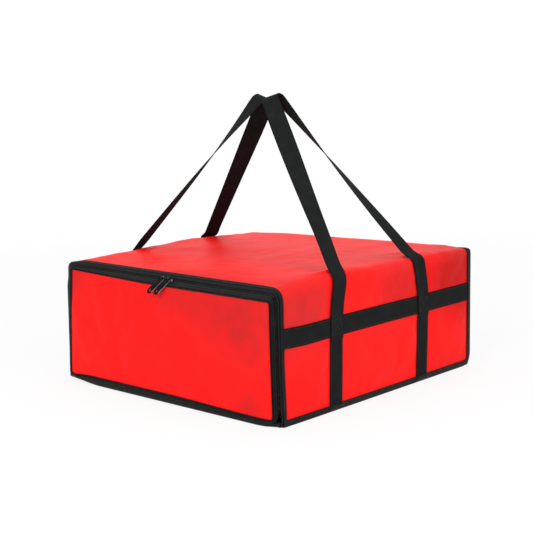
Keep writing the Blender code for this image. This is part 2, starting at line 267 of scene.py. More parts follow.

# %% [markdown]
# The red cloth is a plain weave under a thin soft coating. The weave only just shows, so it is a faint
# bump, and the coating gives the broad pale sheen on the top. The red isn't one red: soft clouds make it
# duller in patches, shade is painted in at listed places as a duller, darker red where the cloth dips, and
# shadow is painted as a deeper red on the rear of the right side, so three reds are mixed. Extra coat at two
# places on the right side paints a paler sheen there. A picture of the cloth would be quicker, but it would
# carry one photo's light with it and couldn't be resized.

# %% Red coated cloth
thread_pitch = 0.0007
# Places and reaches where shade is painted on the cloth as a duller, darker red, where the cloth dips.
painted_shade_places = [((0.04, -0.27, 0.200), 0.10), ((0.14, -0.27, 0.180), 0.12), ((0.225, -0.27, 0.150), 0.13)]
painted_shade_places += [((0.26, 0.04, 0.185), 0.10), ((0.27, -0.20, 0.185), 0.10)]
painted_shade_places += [((-0.225, -0.27, 0.19), 0.05), ((0.20, -0.27, 0.025), 0.05)]
# Places and reaches where shadow is painted as a deeper red, on the rear of the right side.
painted_shadow_places = [((0.27, 0.19, 0.185), 0.13), ((0.27, 0.26, 0.170), 0.12)]
# Places, reaches and amounts of extra coat that paint a paler sheen on the right side.
coat_sheen_places = [((0.27, -0.20, 0.175), 0.13, 0.16), ((0.27, -0.02, 0.10), 0.22, 0.05)]
# The cloth's own red, a duller red for the clouds and the painted shade, and a deeper red for the painted
# shadow.
plain_red, dull_and_shade_red = colour(0.920, 0.0115, 0.0100), colour(0.58, 0.0180, 0.0185)
painted_shadow_red = colour(0.56, 0.0085, 0.0080)
top_bloom, bloom_foot, bloom_top = 0.165, 0.198, 0.214


def red_cloth_look():
    look = Look("red_coated_cloth")
    across, along = look.weave_axes()
    warp, weft = across / thread_pitch, along / thread_pitch
    over = (warp.floor() + weft.floor()) % 2.0
    weave = over * warp.wave() + (1 - over) * weft.wave()
    patches = look.step(look.cloud(0.13, 4.0), 0.40, 0.75)
    mottle = look.step(look.cloud(0.030, 3.0), 0.20, 0.80)
    # Painted shade: a duller, darker red at the listed places, broken up by the mottle.
    painted_shade = sum(look.near(*spot) for spot in painted_shade_places)
    dull = look.kept(patches * 0.08 + painted_shade * (0.52 + mottle * 0.32))
    # Painted shadow: a deeper red on the rear of the right side.
    painted_shadow = look.kept(sum(look.near(*spot) for spot in painted_shadow_places) * (0.6 + mottle * 0.4))
    red = look.mix(painted_shadow, look.mix(dull, plain_red, dull_and_shade_red), painted_shadow_red)
    depth, height = look.parts(look.place(), (1, 2))
    # Painted sheen: extra coat at the listed places on the right side.
    coat_sheen = sum(look.near(centre, reach) * share for centre, reach, share in coat_sheen_places)
    on_top = look.step(depth, -0.25, 0.12) * look.step(height, bloom_foot, bloom_top)
    soft = look.bump(look.cloud(0.030, 4.0, roughness=0.6), 0.0030, 0.30)
    return look.done(
        Base_Color=red,
        Roughness=0.46 + dull * 0.14,
        Normal=look.bump(weave, 0.00010, 0.30, over=soft),
        Specular_IOR_Level=0.045,
        Coat_Weight=on_top * top_bloom + coat_sheen,
        Coat_Roughness=0.45,
    )


red_cloth = red_cloth_look()
print(red_cloth.name)

# %% [markdown]
# Webbing is woven on a narrow loom: thick yarns lie side by side along it and dip under the cross yarns in
# turn. Ribs across the width with beads along each, every second rib half a bead on, give that pattern at
# its real size. Binding is a thinner tape with fine ribs across it, so it takes the light a little more.

# %% Charcoal webbing and binding
rib_pitch, bead_pitch = 0.0016, 0.0020
tape_rib_pitch = 0.0008


def webbing_look():
    look = Look("charcoal_webbing")
    across, along = look.weave_axes()
    # Darker towards both long edges: painted shade along the tape's edges.
    edge = look.step(look.weave_axes("selvage")[0], 0.0004, 0.0026)
    rib = across / rib_pitch
    beads = (along / bead_pitch + (rib.floor() % 2.0) * 0.5).wave()
    weave = rib.wave() * (0.45 + beads * 0.55)
    dust = look.step(look.cloud(0.020, 5.0), 0.35, 0.80)
    dark, pale = colour(0.0050, 0.0055, 0.0055), colour(0.0235, 0.0255, 0.0255)
    return look.done(
        Base_Color=look.mix((weave * 0.50 + dust * 0.25) * (0.3 + edge * 0.7), dark, pale),
        Roughness=0.72 + dust * 0.10,
        Normal=look.bump(weave, 0.00035, 0.8),
        Specular_IOR_Level=0.04,
    )


def binding_look():
    look = Look("charcoal_binding_tape")
    across, along = look.weave_axes()
    # Darker towards both long edges: painted shade along the tape's edges.
    edge = look.step(look.weave_axes("selvage")[0], 0.0006, 0.0034)
    ribs = (along / tape_rib_pitch).wave() * 0.7 + (across / tape_rib_pitch).wave() * 0.3
    dust = look.step(look.cloud(0.018, 5.0), 0.35, 0.80)
    dark, pale = colour(0.0020, 0.0021, 0.0021), colour(0.0170, 0.0178, 0.0178)
    waves = look.bump(look.cloud(0.010, 3.0), 0.0022, 0.6)
    return look.done(
        Base_Color=look.mix((ribs * 0.30 + dust * 0.35) * (0.12 + edge * 0.88), dark, pale),
        Roughness=0.40 + dust * 0.12,
        Normal=look.bump(ribs, 0.00012, 0.6, over=waves),
        Specular_IOR_Level=0.10,
    )


webbing, binding_tape = webbing_look(), binding_look()
print(webbing.name, binding_tape.name)

# %% [markdown]
# The lining is foil on a thin film. It is shiny but never flat: it takes small sharp crinkles, which
# Voronoi cells give, over slow waves. The foam is closed-cell, so its cut faces have a fine grain.

# %% Foil lining and foam
def foil_look():
    look = Look("crinkled_foil_lining")
    cells = look.node(
        "ShaderNodeTexVoronoi",
        {"feature": "DISTANCE_TO_EDGE"},
        {"Vector": look.place(), "Scale": 1 / 0.011, "Randomness": 1.0},
    )
    waves = look.cloud(0.035, 3.0)
    dull = look.step(waves, 0.35, 0.70)
    slow = look.bump(waves, 0.004, 0.5)
    return look.done(
        Base_Color=look.mix(dull, colour(0.80, 0.81, 0.83), colour(0.60, 0.61, 0.63)),
        Metallic=0.85,
        Roughness=0.24 + dull * 0.16,
        Normal=look.bump(look.step(cells, 0.0, 0.18), 0.0008, 0.6, over=slow),
    )


def foam_look():
    look = Look("white_closed_cell_foam")
    cells = look.node("ShaderNodeTexVoronoi", None, {"Vector": look.place(), "Scale": 1 / 0.0012})
    patches = look.step(look.cloud(0.04), 0.3, 0.7)
    return look.done(
        Base_Color=look.mix(patches, colour(0.84, 0.84, 0.82), colour(0.76, 0.76, 0.74)),
        Roughness=0.85 + patches * 0.05,
        Normal=look.bump(cells, 0.0004, 0.5),
    )


foil, white_foam = foil_look(), foam_look()
print(foil.name, white_foam.name)

# %% [markdown]
# The zip has three finishes: a finely woven tape, glossy nylon coils, and sliders in black enamel that has
# worn to bare metal where fingers and the zip rub, which is along its sharpest edges. Pointiness finds
# those edges. The thread is a little paler than the cloth it holds, so that the rows of stitches can be
# seen.

# %% Zip, metal and thread
def zip_tape_look():
    look = Look("black_zip_tape")
    across, along = look.weave_axes()
    ribs = (across / 0.0006).wave() * 0.6 + (along / 0.0005).wave() * 0.4
    return look.done(
        Base_Color=look.mix(ribs, colour(0.003, 0.003, 0.003), colour(0.008, 0.008, 0.008)),
        Roughness=0.62 + ribs * 0.1,
        Normal=look.bump(ribs, 0.0001, 0.6),
        Specular_IOR_Level=0.15,
    )


def coil_look():
    look = Look("black_nylon_coil")
    patches = look.step(look.cloud(0.008), 0.3, 0.7)
    return look.done(
        Base_Color=look.mix(patches, colour(0.004, 0.004, 0.0045), colour(0.010, 0.010, 0.0105)),
        Roughness=0.30 + patches * 0.12,
        Specular_IOR_Level=0.25,
    )


def enamel_look():
    look = Look("worn_black_enamel")
    sharp = look.node("ShaderNodeNewGeometry", output=7)
    rub = look.step(look.cloud(0.006, 2.0), 0.40, 0.62)
    worn = look.step(sharp, 0.54, 0.61) * rub
    fine = look.cloud(0.0006, 2.0)
    return look.done(
        Base_Color=look.mix(worn, colour(0.0014, 0.0014, 0.0015), colour(0.66, 0.66, 0.68)),
        Metallic=worn * 0.95,
        Roughness=0.30 + worn * 0.04,
        Normal=look.bump(fine, 0.00006, 0.25),
        Specular_IOR_Level=0.05,
    )


# Bare steel for the pull's side rims: wear, and also a painted highlight along them.
def rim_wear_and_highlight_look():
    look = Look("rim_wear_and_highlight_steel")
    scratches = look.cloud(0.0015, 4.0)
    dark = look.step(scratches, 0.35, 0.75)
    return look.done(
        Base_Color=look.mix(dark, colour(0.62, 0.62, 0.64), colour(0.16, 0.16, 0.17)),
        Metallic=0.9,
        Roughness=0.30 + scratches * 0.20,
    )


def thread_look():
    look = Look("charcoal_thread")
    strands = look.cloud(0.0007, 1.0)
    return look.done(
        Base_Color=look.mix(strands, colour(0.020, 0.021, 0.021), colour(0.060, 0.062, 0.062)),
        Roughness=0.55 + strands * 0.1,
        Normal=look.bump(strands, 0.00012, 0.5),
        Specular_IOR_Level=0.25,
    )


zip_tape, nylon, enamel, thread = zip_tape_look(), coil_look(), enamel_look(), thread_look()
rim_wear_and_highlight = rim_wear_and_highlight_look()
print(zip_tape.name, nylon.name, enamel.name, rim_wear_and_highlight.name, thread.name)

# %% [markdown]
# ## The shape that all of the cloth follows
#
# A real bag isn't crisp: the handles pull its top edges up, its walls belly out between seams, its top sags
# and its rear corners are blunt. Each piece could be bent by itself, but neighbours would then part or cut
# through each other. Instead every piece is built crisp and its points then go through one function,
# `settle`. The zip's top run stays straight, because the sliders have to run along it.

# %% Soft steps and humps
def smooth(value, low, high):
    share = np.clip((value - low) / (high - low), 0.0, 1.0)
    return share * share * (3 - 2 * share)


def hump(value, middle, reach):
    return np.exp(-(((value - middle) / reach) ** 2))


def noise_at(points, size, seed):
    """Smooth random levels, from about minus one to one, at each point."""
    shift = Vector((seed * 7.31, seed * 3.17, seed * 5.53))
    flat = np.asarray(points, float).reshape(-1, 3) / size
    levels = [noise.noise(Vector(p) + shift) for p in flat]
    return np.array(levels).reshape(np.shape(points)[:-1])


print("noise at the origin", round(float(noise_at([[0, 0, 0]], 1.0, 1)[0]), 3))

# %% The settled shape, fold by fold
edge_lifts = {("left", 0): 0.0005, ("left", 1): 0.0008, ("right", 0): 0.0080, ("right", 1): 0.0040}
lift_along, lift_across = 0.095, 0.080
top_sag, side_belly = 0.0010, 0.0020
rear_drop, rear_drop_start, rear_drop_end = 0.0092, 0.10, -0.26
rear_roll, rear_roll_reach = 0.0052, 0.022
rear_swell, rear_swell_from, rear_swell_reach = 0.0030, 0.036, 0.030
corner_blunt, corner_reach = 0.0030, 0.026
wander, wander_size = 0.0009, 0.11
corner_sag, rear_corner_sag = 0.0058, 0.0030
strap_drifts = (-0.0062, 0.0038)
left_power, right_power, rear_power, left_front_power = 2.4, 2.8, 8.0, 5.0


def tighten(reach_a, reach_b, radius, power, fade_start, fade_end):
    """Pushes a round corner into a tighter one: a power of 2 leaves the arc, and a higher one squares it."""
    reach = np.hypot(reach_a, reach_b)
    safe = np.maximum(reach, 1e-6)
    share_a = np.where(reach > 1e-6, reach_a / safe, 1.0)
    share_b = np.where(reach > 1e-6, reach_b / safe, 0.0)
    grow = (share_a**power + share_b**power) ** (-1 / power) - 1
    fade = 1 - smooth(reach, fade_start * radius, fade_end * radius)
    push = grow * np.minimum(reach, 1.2 * radius) * fade
    return share_a * push, share_b * push


def square_fold(x, y, z):
    """The top folds are round at the front and under the handles, and tighter at the back seam."""
    reach_x = np.maximum(np.abs(x) - (half_width - fold_radius), 0.0)
    reach_z = np.maximum(z - (bag_height - fold_radius), 0.0)
    toward_strap = smooth(y, front, strap_places["left"][0] - 0.03)
    left = left_front_power + (left_power - left_front_power) * toward_strap
    near_power = np.where(x > 0, right_power, left)
    power = near_power + (rear_power - near_power) * smooth(y, strap_places["right"][0], back)
    dx, dz = tighten(reach_x, reach_z, fold_radius, power, 1.25, 2.4)
    return np.sign(x) * dx, dz


print("the fold moves by", [round(float(v), 5) for v in square_fold(0.2524, back, 0.2124)], "at the rear")

# %% [markdown]
# The front is the softest part. The flap hangs a little low and to the right, the zip edge swells at the
# sides, and towards the left the flap's border rides up. Lifting it straight up would put it in the left
# slider's way, so the border also slides back along the slope, which leaves the slider its run.

# %% The settled shape of the front, where the zip edge leans and bulges
flap_shift_left, flap_shift_right, flap_shift_foot = 0.0075, 0.0045, 0.0045
flap_drop, drop_right, drop_left, hem_height = 0.0052, 0.0035, 0.0040, 0.0200
hem_lift_left, hem_lift_right = 0.0050, 0.0020
border_lift, border_back, border_lift_start, border_lift_end = 0.0042, 0.0036, -0.05, -0.24
seam_in, seam_advance = 0.0025, 0.0030
slope_bulge = 0.0032
flap_turn, flap_rim_foot, flap_foot_power = 0.0322, 0.0018, 4.5
flap_spread = 0.0045


def lean_front(x, y, z, rise):
    """The flap hangs a little low and to the right, and the zip edge swells at the sides."""
    frontness = np.clip((wall_front - y) / (wall_front - front), 0.0, 1.2)
    flat = np.clip(frontness, 0.0, 1.0)
    right_hand = np.clip((x / half_width + 1) / 2, 0.0, 1.0)
    shift = (1 - right_hand) * (flap_shift_left * rise - flap_spread * (1 - rise) ** 2)
    shift += right_hand * (flap_shift_right + flap_shift_foot * (1 - rise) ** 2)
    dx = frontness * shift
    hem = smooth(z, 0.0, hem_height) * (1 - smooth(z, hem_height, 4 * hem_height))
    drop = flap_drop + drop_right * smooth(x, 0.0, 0.22) + drop_left * smooth(-x, 0.18, 0.24)
    dz = -drop * hem * flat
    leftward = np.clip((x - border_lift_start) / (border_lift_end - border_lift_start), 0.0, 1.0)
    depth = np.minimum(bag_height - z, half_width - np.abs(x))
    along = (y - front + band_inset - depth) / sqrt(2)
    climb = leftward * smooth(z, bag_height / 2, 0.85 * bag_height) * (flat > 0.0)
    climb = climb * (1 - np.clip(along / slope_width, 0.0, 1.0)) ** 4
    dz += border_lift * climb
    ends = hem_lift_left * smooth(-x, 0.165, 0.235) + hem_lift_right * smooth(x, 0.205, 0.245)
    dz += ends * (1 - smooth(z, 0.0, 1.5 * hem_height)) * flat
    beside = smooth(np.abs(x), half_width - 0.035, half_width - 0.010)
    near_wall = hump(np.maximum(y - wall_front, 0.0), 0.0, 0.040)
    seam = beside * (1 - flat) * near_wall * (0.35 + 0.65 * smooth(rise, 0.05, 0.5))
    dx -= np.sign(x) * seam_in * seam
    dy = border_back * climb - seam_advance * seam
    behind = (y - front + half_width - np.abs(x) - band_inset) / sqrt(2)
    below_fold = 1 - smooth(z, 0.78 * bag_height, 0.90 * bag_height)
    on_slope = (1 - smooth(behind, 0.003, 0.012)) * beside * below_fold
    swollen = slope_bulge * 4 * flat * (1 - flat) * on_slope / sqrt(2)
    foot_x = np.maximum(np.abs(x) - (half_width - flap_turn), 0.0)
    foot_z = np.maximum(flap_rim_foot + flap_turn - z, 0.0)
    out_x, down_z = tighten(foot_x, foot_z, flap_turn, flap_foot_power, 0.95, 1.15)
    return dx + np.sign(x) * (swollen + out_x * flat), dy - swollen, dz - down_z * flat


def settle(points):
    """Moves points of the crisp bag to where the soft bag has them."""
    crisp = np.array(points, float)
    moved = crisp.copy()
    x, y, z = crisp[..., 0], crisp[..., 1], crisp[..., 2]
    rise = np.clip(z / bag_height, 0.0, 1.0)
    between = smooth(y, front + band_inset, front + 4 * band_inset)
    between = between * (1 - smooth(y, back - 2 * band_inset, back))
    high = smooth(z, band_top, bag_height)
    for (label, row), lift in edge_lifts.items():
        from_edge = np.maximum(half_width - side_signs[label] * x, 0.0)
        near = hump(y, strap_places[label][row], lift_along) * hump(from_edge, 0.0, lift_across)
        moved[..., 2] += lift * near * high * between
    inward = np.clip(1 - (x / half_width) ** 2, 0.0, 1.0)
    below = 1 - smooth(z, bag_height, bag_height * 1.1)
    moved[..., 2] -= top_sag * inward * smooth(z, bag_height - 2 * fold_radius, bag_height) * below * between
    near_top = smooth(z, bag_height / 2, bag_height) * below
    leftward = np.clip((rear_drop_start - x) / (rear_drop_start - rear_drop_end), 0.0, 1.0)
    moved[..., 2] -= rear_drop * leftward * smooth(y, 0.03, back) * near_top
    inner = smooth(half_width - x, 0.0, 2 * fold_radius)
    swelling = rear_swell * hump(y, back - rear_swell_from, rear_swell_reach)
    rolled_off = rear_roll * smooth(y, back - rear_roll_reach, back) - swelling
    moved[..., 2] -= rolled_off * near_top * (0.15 + 0.85 * inner)
    near_seam = smooth(y, front, wall_front) * (1 - smooth(y, -0.130, -0.050))
    sagging = corner_sag * near_seam * smooth(-x, 0.205, half_width)
    sagging += rear_corner_sag * smooth(y, 0.10, back) * smooth(-x, 0.14, half_width)
    moved[..., 2] -= sagging * near_top
    outer = smooth(np.abs(x), half_width - fold_radius, half_width)
    moved[..., 0] += np.sign(x) * side_belly * np.sin(pi * rise) * outer * between
    for side in (-1, 1):
        away = np.linalg.norm(crisp - np.array((side * half_width, back, 0.0)), axis=-1)
        push = corner_blunt * np.clip(1 - away / corner_reach, 0.0, 1.0) ** 2
        moved += push[..., None] * np.array((-side, -1.0, 1.0))
    for place, drift, share in zip(strap_places["right"], strap_drifts, (0.5, 1.0)):
        on_right = smooth(x, 0.15, 0.25) * (1 - share * smooth(z, 0.14, 0.20)) * (1 - smooth(z, 0.22, 0.30))
        moved[..., 1] += drift * hump(y, place, 0.055) * on_right
    loose = wander * between * smooth(z, 0.0, binding_width * 2) * below
    for axis in range(3):
        moved[..., axis] += loose * noise_at(crisp, wander_size, axis + 1)
    fold_x, fold_z = square_fold(x, y, z)
    lean_x, lean_y, lean_z = lean_front(x, y, z, rise)
    moved[..., 0] += fold_x + lean_x
    moved[..., 1] += lean_y
    moved[..., 2] += fold_z + lean_z
    moved[..., 2] = np.maximum(moved[..., 2], np.minimum(z, 0.0003))
    return moved


lifted = settle([[half_width - fold_radius, strap_places["right"][0], bag_height]])[0, 2] - bag_height
print("the top edge rises by", round(float(lifted), 4), "at the right front strap")

# %% [markdown]
# ## Lofting
#
# Almost every piece of a bag is a sheet or a tape that follows a path, so one function makes them all: it
# joins rows of points into a mesh. It also writes two maps in real metres, which the woven finishes read:
# one across and along the piece, and one from its nearest long edge. `thick` turns a centre line into a
# closed, rounded section.

# %% Lines, rings and faces
def lengths(points):
    """Distance along a line of points, from zero at its start."""
    steps = np.linalg.norm(np.diff(points, axis=0), axis=1)
    return np.concatenate([[0.0], np.cumsum(steps)])


def unit(vectors):
    return vectors / np.linalg.norm(vectors, axis=1)[:, None]


def grid_faces(n, m, closed=False, around=False):
    """Faces of a grid of n rows of m points, with the row and column that each face starts from."""
    i, j = np.indices((n if closed else n - 1, m if around else m - 1)).reshape(2, -1)
    next_i, next_j = (i + 1) % n, (j + 1) % m
    faces = np.stack([i * m + j, next_i * m + j, next_i * m + next_j, i * m + next_j], 1)
    return faces, i, j, next_j


def end_faces(n, m):
    return [list(range(m))[::-1], list(range((n - 1) * m, n * m))]


def face_outward(data, weld=0.0):
    """Turns the faces of a closed mesh to its outside, and joins points nearer than a weld distance."""
    grid = bmesh.new()
    grid.from_mesh(data)
    if weld:
        bmesh.ops.remove_doubles(grid, verts=grid.verts, dist=weld)
    bmesh.ops.recalc_face_normals(grid, faces=grid.faces)
    grid.to_mesh(data)
    grid.free()


def ring_points(line, across, other, radii, sides):
    """Rings of points round a line, each as wide as its radius."""
    angles = 2 * pi * np.arange(sides) / sides
    ring = np.cos(angles)[None, :, None] * across[:, None] + np.sin(angles)[None, :, None] * other[:, None]
    return line[:, None] + ring * np.asarray(radii)[..., None, None]


print("a unit square is", lengths(np.array([(0, 0), (1, 0), (1, 1), (0, 1), (0, 0)]))[-1], "round")

# %% Loft and section

def loft(name, stations, look, across=None, around=False, closed=False, flip=False, sharp=50.0):
    """A mesh through stations: an array of rows along the piece, points across it, and three coordinates."""
    stations = np.asarray(stations, float)
    n, m = stations.shape[:2]
    faces, i, j, next_j = grid_faces(n, m, closed, around)
    middle = stations.mean(1)
    along = lengths(np.vstack([middle, middle[:1]]))
    across = lengths(stations[0]) if across is None else across
    u = across[np.stack([j, j, next_j, next_j], 1)]
    v = along[np.stack([i, i + 1, i + 1, i], 1)]
    edge = np.minimum(u, across.max() - u)
    if flip:
        faces, u, v, edge = faces[:, ::-1], u[:, ::-1], v[:, ::-1], edge[:, ::-1]
    ends = end_faces(n, m) if around and not closed else []
    data = bpy.data.meshes.new(name)
    data.from_pydata(stations.reshape(-1, 3).tolist(), [], faces.tolist() + ends)
    for map_name, sideways in (("weave", u), ("selvage", edge)):
        flat = np.zeros((len(data.loops), 2), np.float32)
        flat[: faces.size] = np.stack([sideways, v], -1).reshape(-1, 2)
        data.uv_layers.new(name=map_name).uv.foreach_set("vector", flat.ravel())
    if around:
        face_outward(data)
    data.shade_smooth()
    data.set_sharp_from_angle(angle=radians(sharp))
    data.materials.append(look)
    return add_object(name, data)


def thicken(piece, thickness):
    """Gives an open sheet its thickness, to the inside of the bag."""
    solid = piece.modifiers.new("thickness", "SOLIDIFY")
    solid.thickness = thickness
    solid.offset = -1.0
    return piece


def thick(line, thickness, edge_share=0.55):
    """A closed section round a centre line of 2D points, and each point's distance across the tape."""
    line = np.asarray(line, float)
    heading = unit(np.gradient(line, axis=0))
    side = np.stack([-heading[:, 1], heading[:, 0]], 1)
    half = np.full(len(line), thickness / 2)
    half[[0, -1]] *= edge_share
    tips = line[[0, -1]] + heading[[0, -1]] * thickness / 4 * np.array([[-1.0], [1.0]])
    upper, lower = line + side * half[:, None], line - side * half[:, None]
    section = np.vstack([upper, tips[1:], lower[::-1], tips[:1]])
    place = lengths(line)
    across = np.concatenate([place, place[-1:], place[::-1], place[:1]])
    return section, across


print("a plain tape's section has", len(thick([(0, 0), (1, 0), (2, 0)], 0.1)[0]), "points")

# %% Dressing a piece
def dress(piece, body, slot, *nodes):
    """The piece rides on a body and stands for the construction's nodes; slot is not used."""
    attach(piece, body)
    if nodes:
        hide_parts(*nodes)
    return piece


# %% [markdown]
# The bag's outline seen from the front is an arch: up the left side, over the top and down the right, with
# a soft fold at each top edge. Every point carries the direction that points out of the bag, so a layer or
# a tape at any depth is the same arch moved along those directions.

# %% The arch
fold_steps = 12


def straight(start, end, out, spacing):
    """Points between two ends, without the ends."""
    start, end = np.array(start), np.array(end)
    count = max(2, ceil(np.linalg.norm(end - start) / spacing))
    shares = (np.arange(1, count) / count)[:, None]
    return start + (end - start) * shares, np.tile(out, (count - 1, 1))


def bend(middle, radius, start, end, steps=fold_steps):
    angles = np.linspace(start, end, steps + 1)
    outs = np.stack([np.cos(angles), np.sin(angles)], 1)
    return np.array(middle) + radius * outs, outs


def arch(foot, spacing=cloth_step, closed=False, foot_radius=0.0):
    """Points and outward directions, closed along the bottom if asked; corners are square unless rounded."""
    low, turn_x, turn_z = foot + foot_radius, half_width - fold_radius, bag_height - fold_radius
    mitre = -1.0 if closed and not foot_radius else 0.0
    parts = [
        (np.array([(-half_width, low)]), np.array([(-1.0, mitre)])),
        straight((-half_width, low), (-half_width, turn_z), (-1.0, 0.0), spacing),
        bend((-turn_x, turn_z), fold_radius, pi, pi / 2),
        straight((-turn_x, bag_height), (turn_x, bag_height), (0.0, 1.0), spacing),
        bend((turn_x, turn_z), fold_radius, pi / 2, 0.0),
        straight((half_width, turn_z), (half_width, low), (1.0, 0.0), spacing),
        (np.array([(half_width, low)]), np.array([(1.0, mitre)])),
    ]
    if closed:
        inner = half_width - foot_radius
        if foot_radius:
            points, outs = bend((inner, low), foot_radius, 0.0, -pi / 2)
            parts.append((points[1:], outs[1:]))
        parts.append(straight((inner, foot), (-inner, foot), (0.0, -1.0), spacing))
        if foot_radius:
            points, outs = bend((-inner, low), foot_radius, -pi / 2, -pi)
            parts.append((points[:-1], outs[:-1]))
    return np.vstack([part[0] for part in parts]), np.vstack([part[1] for part in parts])


def around_arch(path, section):
    """Stations of a section, given as depth inwards and place along Y, swept round the arch."""
    points, outs = path
    section = np.asarray(section, float)
    flat = points[:, None] - outs[:, None] * section[None, :, :1]
    y = np.broadcast_to(section[:, 1], flat.shape[:2])
    return np.stack([flat[..., 0], y, flat[..., 1]], -1)


def slope(along, behind):
    """A place on the sloping zip edge, as depth inwards and place along Y."""
    return band_inset - (along - behind) / sqrt(2), front + (along + behind) / sqrt(2)


print("points round the arch:", len(arch(wall_foot)[0]))

# %% [markdown]
# ## Red shell
#
# One length of red cloth makes both sides and the top. It is held flat where webbing is sewn over it and at
# its seams, and puffs out a little in between over the foam, with fine creases. How far a point may stand
# off is therefore a function of its distance to the nearest line that holds it.

# %% How far the shell's cloth stands off
puff, puff_reach = 0.0022, 0.028
crease, crease_size = 0.0016, 0.045
strap_half = webbing_width / 2
pucker_depth = 0.0030


def free_distance(x, y, z, on_side):
    """Distance from a point of the shell to the nearest seam or strip of webbing."""
    distance = np.minimum(y - wall_front, back - binding_width - y)
    from_band = np.maximum(np.maximum(band_foot - z, z - band_top), 0.0)
    side_only = np.minimum(from_band, z - binding_width)
    for label, sign in side_signs.items():
        mine = on_side * (np.sign(x) == sign)
        nearest = side_only
        for place in strap_places[label]:
            nearest = np.minimum(nearest, np.maximum(np.abs(y - place) - strap_half, 0.0))
        distance = np.where(mine > 0.5, np.minimum(distance, nearest), distance)
    return np.maximum(distance, 0.0)


def creased(points, seed):
    """Long shallow creases of two sizes."""
    stretched = points * np.array((1.0, 0.6, 1.4))
    return noise_at(stretched, crease_size, seed) + 0.5 * noise_at(points, crease_size / 2.2, seed + 1)


def stand_off(points, outs):
    """How far the red cloth stands off its crisp place, at each point."""
    x, y, z = points[..., 0], points[..., 1], points[..., 2]
    on_side = (np.abs(outs[..., 0]) > 0.3).astype(float)
    free = 1 - np.exp(-free_distance(x, y, z, on_side) / puff_reach)
    raised = free * (puff + crease * creased(points, 11))
    for label, sign in side_signs.items():
        for place in strap_places[label]:
            inside = sign * x - (half_width - 1.7 * fold_radius)
            raised -= pucker_depth * hump(inside, 0.0, 0.012) * hump(y, place, 0.020) * (1 - on_side)
    return np.maximum(raised, -0.0002 - 0.002 * (1 - on_side))


print("cloth stands off by at most", puff + 1.5 * crease)

# %% [markdown]
# Noise can place a crease, but it can't know that cloth is cut a little larger than the padding it covers,
# is held by stitches and sinks under its own weight. A short cloth simulation does: the seams and the sewn
# webbing hold their points and the rest is free for some frames. Only how far each point ends off the
# padding is kept, and no more than a few millimetres of it, so the cloth can't cut into the padding or
# leave the box.

# %% Letting the cloth settle
cloth_frames = 14
held_reach = 0.004
stand_off_limit = 0.0035
cloth_mass, gravity_share, cloth_lift = 0.12, 0.12, 0.06
stretch_stiffness, shear_stiffness, bend_stiffness, cloth_air = 40.0, 12.0, 1.2, 4.0


def drape(piece, free, ease):
    """Simulates a sheet cut larger than its place by a share, ease, and keeps how far it stands off."""
    data = piece.data
    group = piece.vertex_groups.new(name="held")
    group.add(np.flatnonzero(free.ravel() < held_reach).tolist(), 1.0, "REPLACE")
    cloth = piece.modifiers.new("drape", "CLOTH")
    cloth.point_cache.frame_end = cloth_frames
    cloth.settings.quality = 6
    cloth.settings.mass = cloth_mass
    cloth.settings.tension_stiffness = stretch_stiffness
    cloth.settings.compression_stiffness = stretch_stiffness
    cloth.settings.shear_stiffness = shear_stiffness
    cloth.settings.bending_stiffness = bend_stiffness
    cloth.settings.air_damping = cloth_air
    cloth.settings.effector_weights.gravity = gravity_share
    cloth.settings.vertex_group_mass = group.name
    cloth.settings.shrink_min = -ease
    cloth.settings.use_pressure = True
    cloth.settings.uniform_pressure_force = cloth_lift
    for step in range(1, cloth_frames + 1):
        scene.frame_set(step)
    drawn = piece.evaluated_get(bpy.context.evaluated_depsgraph_get())
    start, ended, normals = (np.zeros(3 * len(data.vertices), np.float32) for _ in range(3))
    data.vertices.foreach_get("co", start)
    drawn.data.vertices.foreach_get("co", ended)
    data.vertex_normals.foreach_get("vector", normals)
    start, ended, normals = (values.reshape(-1, 3).astype(float) for values in (start, ended, normals))
    off = ((ended - start) * normals).sum(1)
    kept = stand_off_limit * np.tanh(np.maximum(off, 0.0) / stand_off_limit)
    piece.modifiers.remove(cloth)
    piece.vertex_groups.remove(group)
    scene.frame_set(1)
    data.vertices.foreach_set("co", (start + normals * kept[:, None]).ravel())
    data.update()
    print(piece.name, "stands off by up to", round(float(kept.max()), 4))
    return piece


print("cloth settles for", cloth_frames, "frames")

# %% The shell's three layers
def shell_rows(depth, foot, start, end, spacing):
    points, outs = arch(foot, spacing)
    rows = np.arange(ceil((end - start) / spacing) + 1)
    y = start + (end - start) * rows / rows[-1]
    flat = points - outs * depth
    stations = np.empty((len(y), len(flat), 3))
    stations[..., 0], stations[..., 2] = flat[:, 0], flat[:, 1]
    stations[..., 1] = y[:, None]
    normals = np.zeros_like(stations)
    normals[..., 0], normals[..., 2] = outs[:, 0], outs[:, 1]
    return stations, normals


shell_end = back - foam_depth
stations, normals = shell_rows(0.0, wall_foot, wall_front, shell_end, cloth_step)
on_side = (np.abs(normals[..., 0]) > 0.3).astype(float)
free = free_distance(stations[..., 0], stations[..., 1], stations[..., 2], on_side)
stations += normals * stand_off(stations, normals)[..., None]
shell_cloth = drape(loft("shell_cloth", settle(stations), red_cloth, flip=True), free, 0.012)
thicken(shell_cloth, skin)
dress(shell_cloth, "bag", "red_cloth", "outer_wrap")

stations, normals = shell_rows(foam_depth, wall_foot, wall_front, shell_end, coarse_step)
shell_padding = thicken(loft("shell_padding", settle(stations), white_foam, flip=True), foam)
dress(shell_padding, "bag", "foam", "foam_wrap")

stations, normals = shell_rows(liner_depth, lining_foot, wall_front, back - liner_depth, cloth_step)
stations -= normals * (0.0012 * (1 + creased(stations, 21)))[..., None].clip(0.0)
shell_lining = thicken(loft("shell_lining", settle(stations), foil, flip=True), liner)
dress(shell_lining, "bag", "foil_lining", "liner_wrap")
print("shell cloth:", len(shell_cloth.data.vertices), "points")

# %% [markdown]
# ## Upright panels
#
# The flap and the back are the same kind of piece: a flat cut with rounded corners, sewn in along its edge
# and padded, so it swells towards its middle. A grid whose rows get shorter in the corners keeps the faces
# square, and needs no trimming.

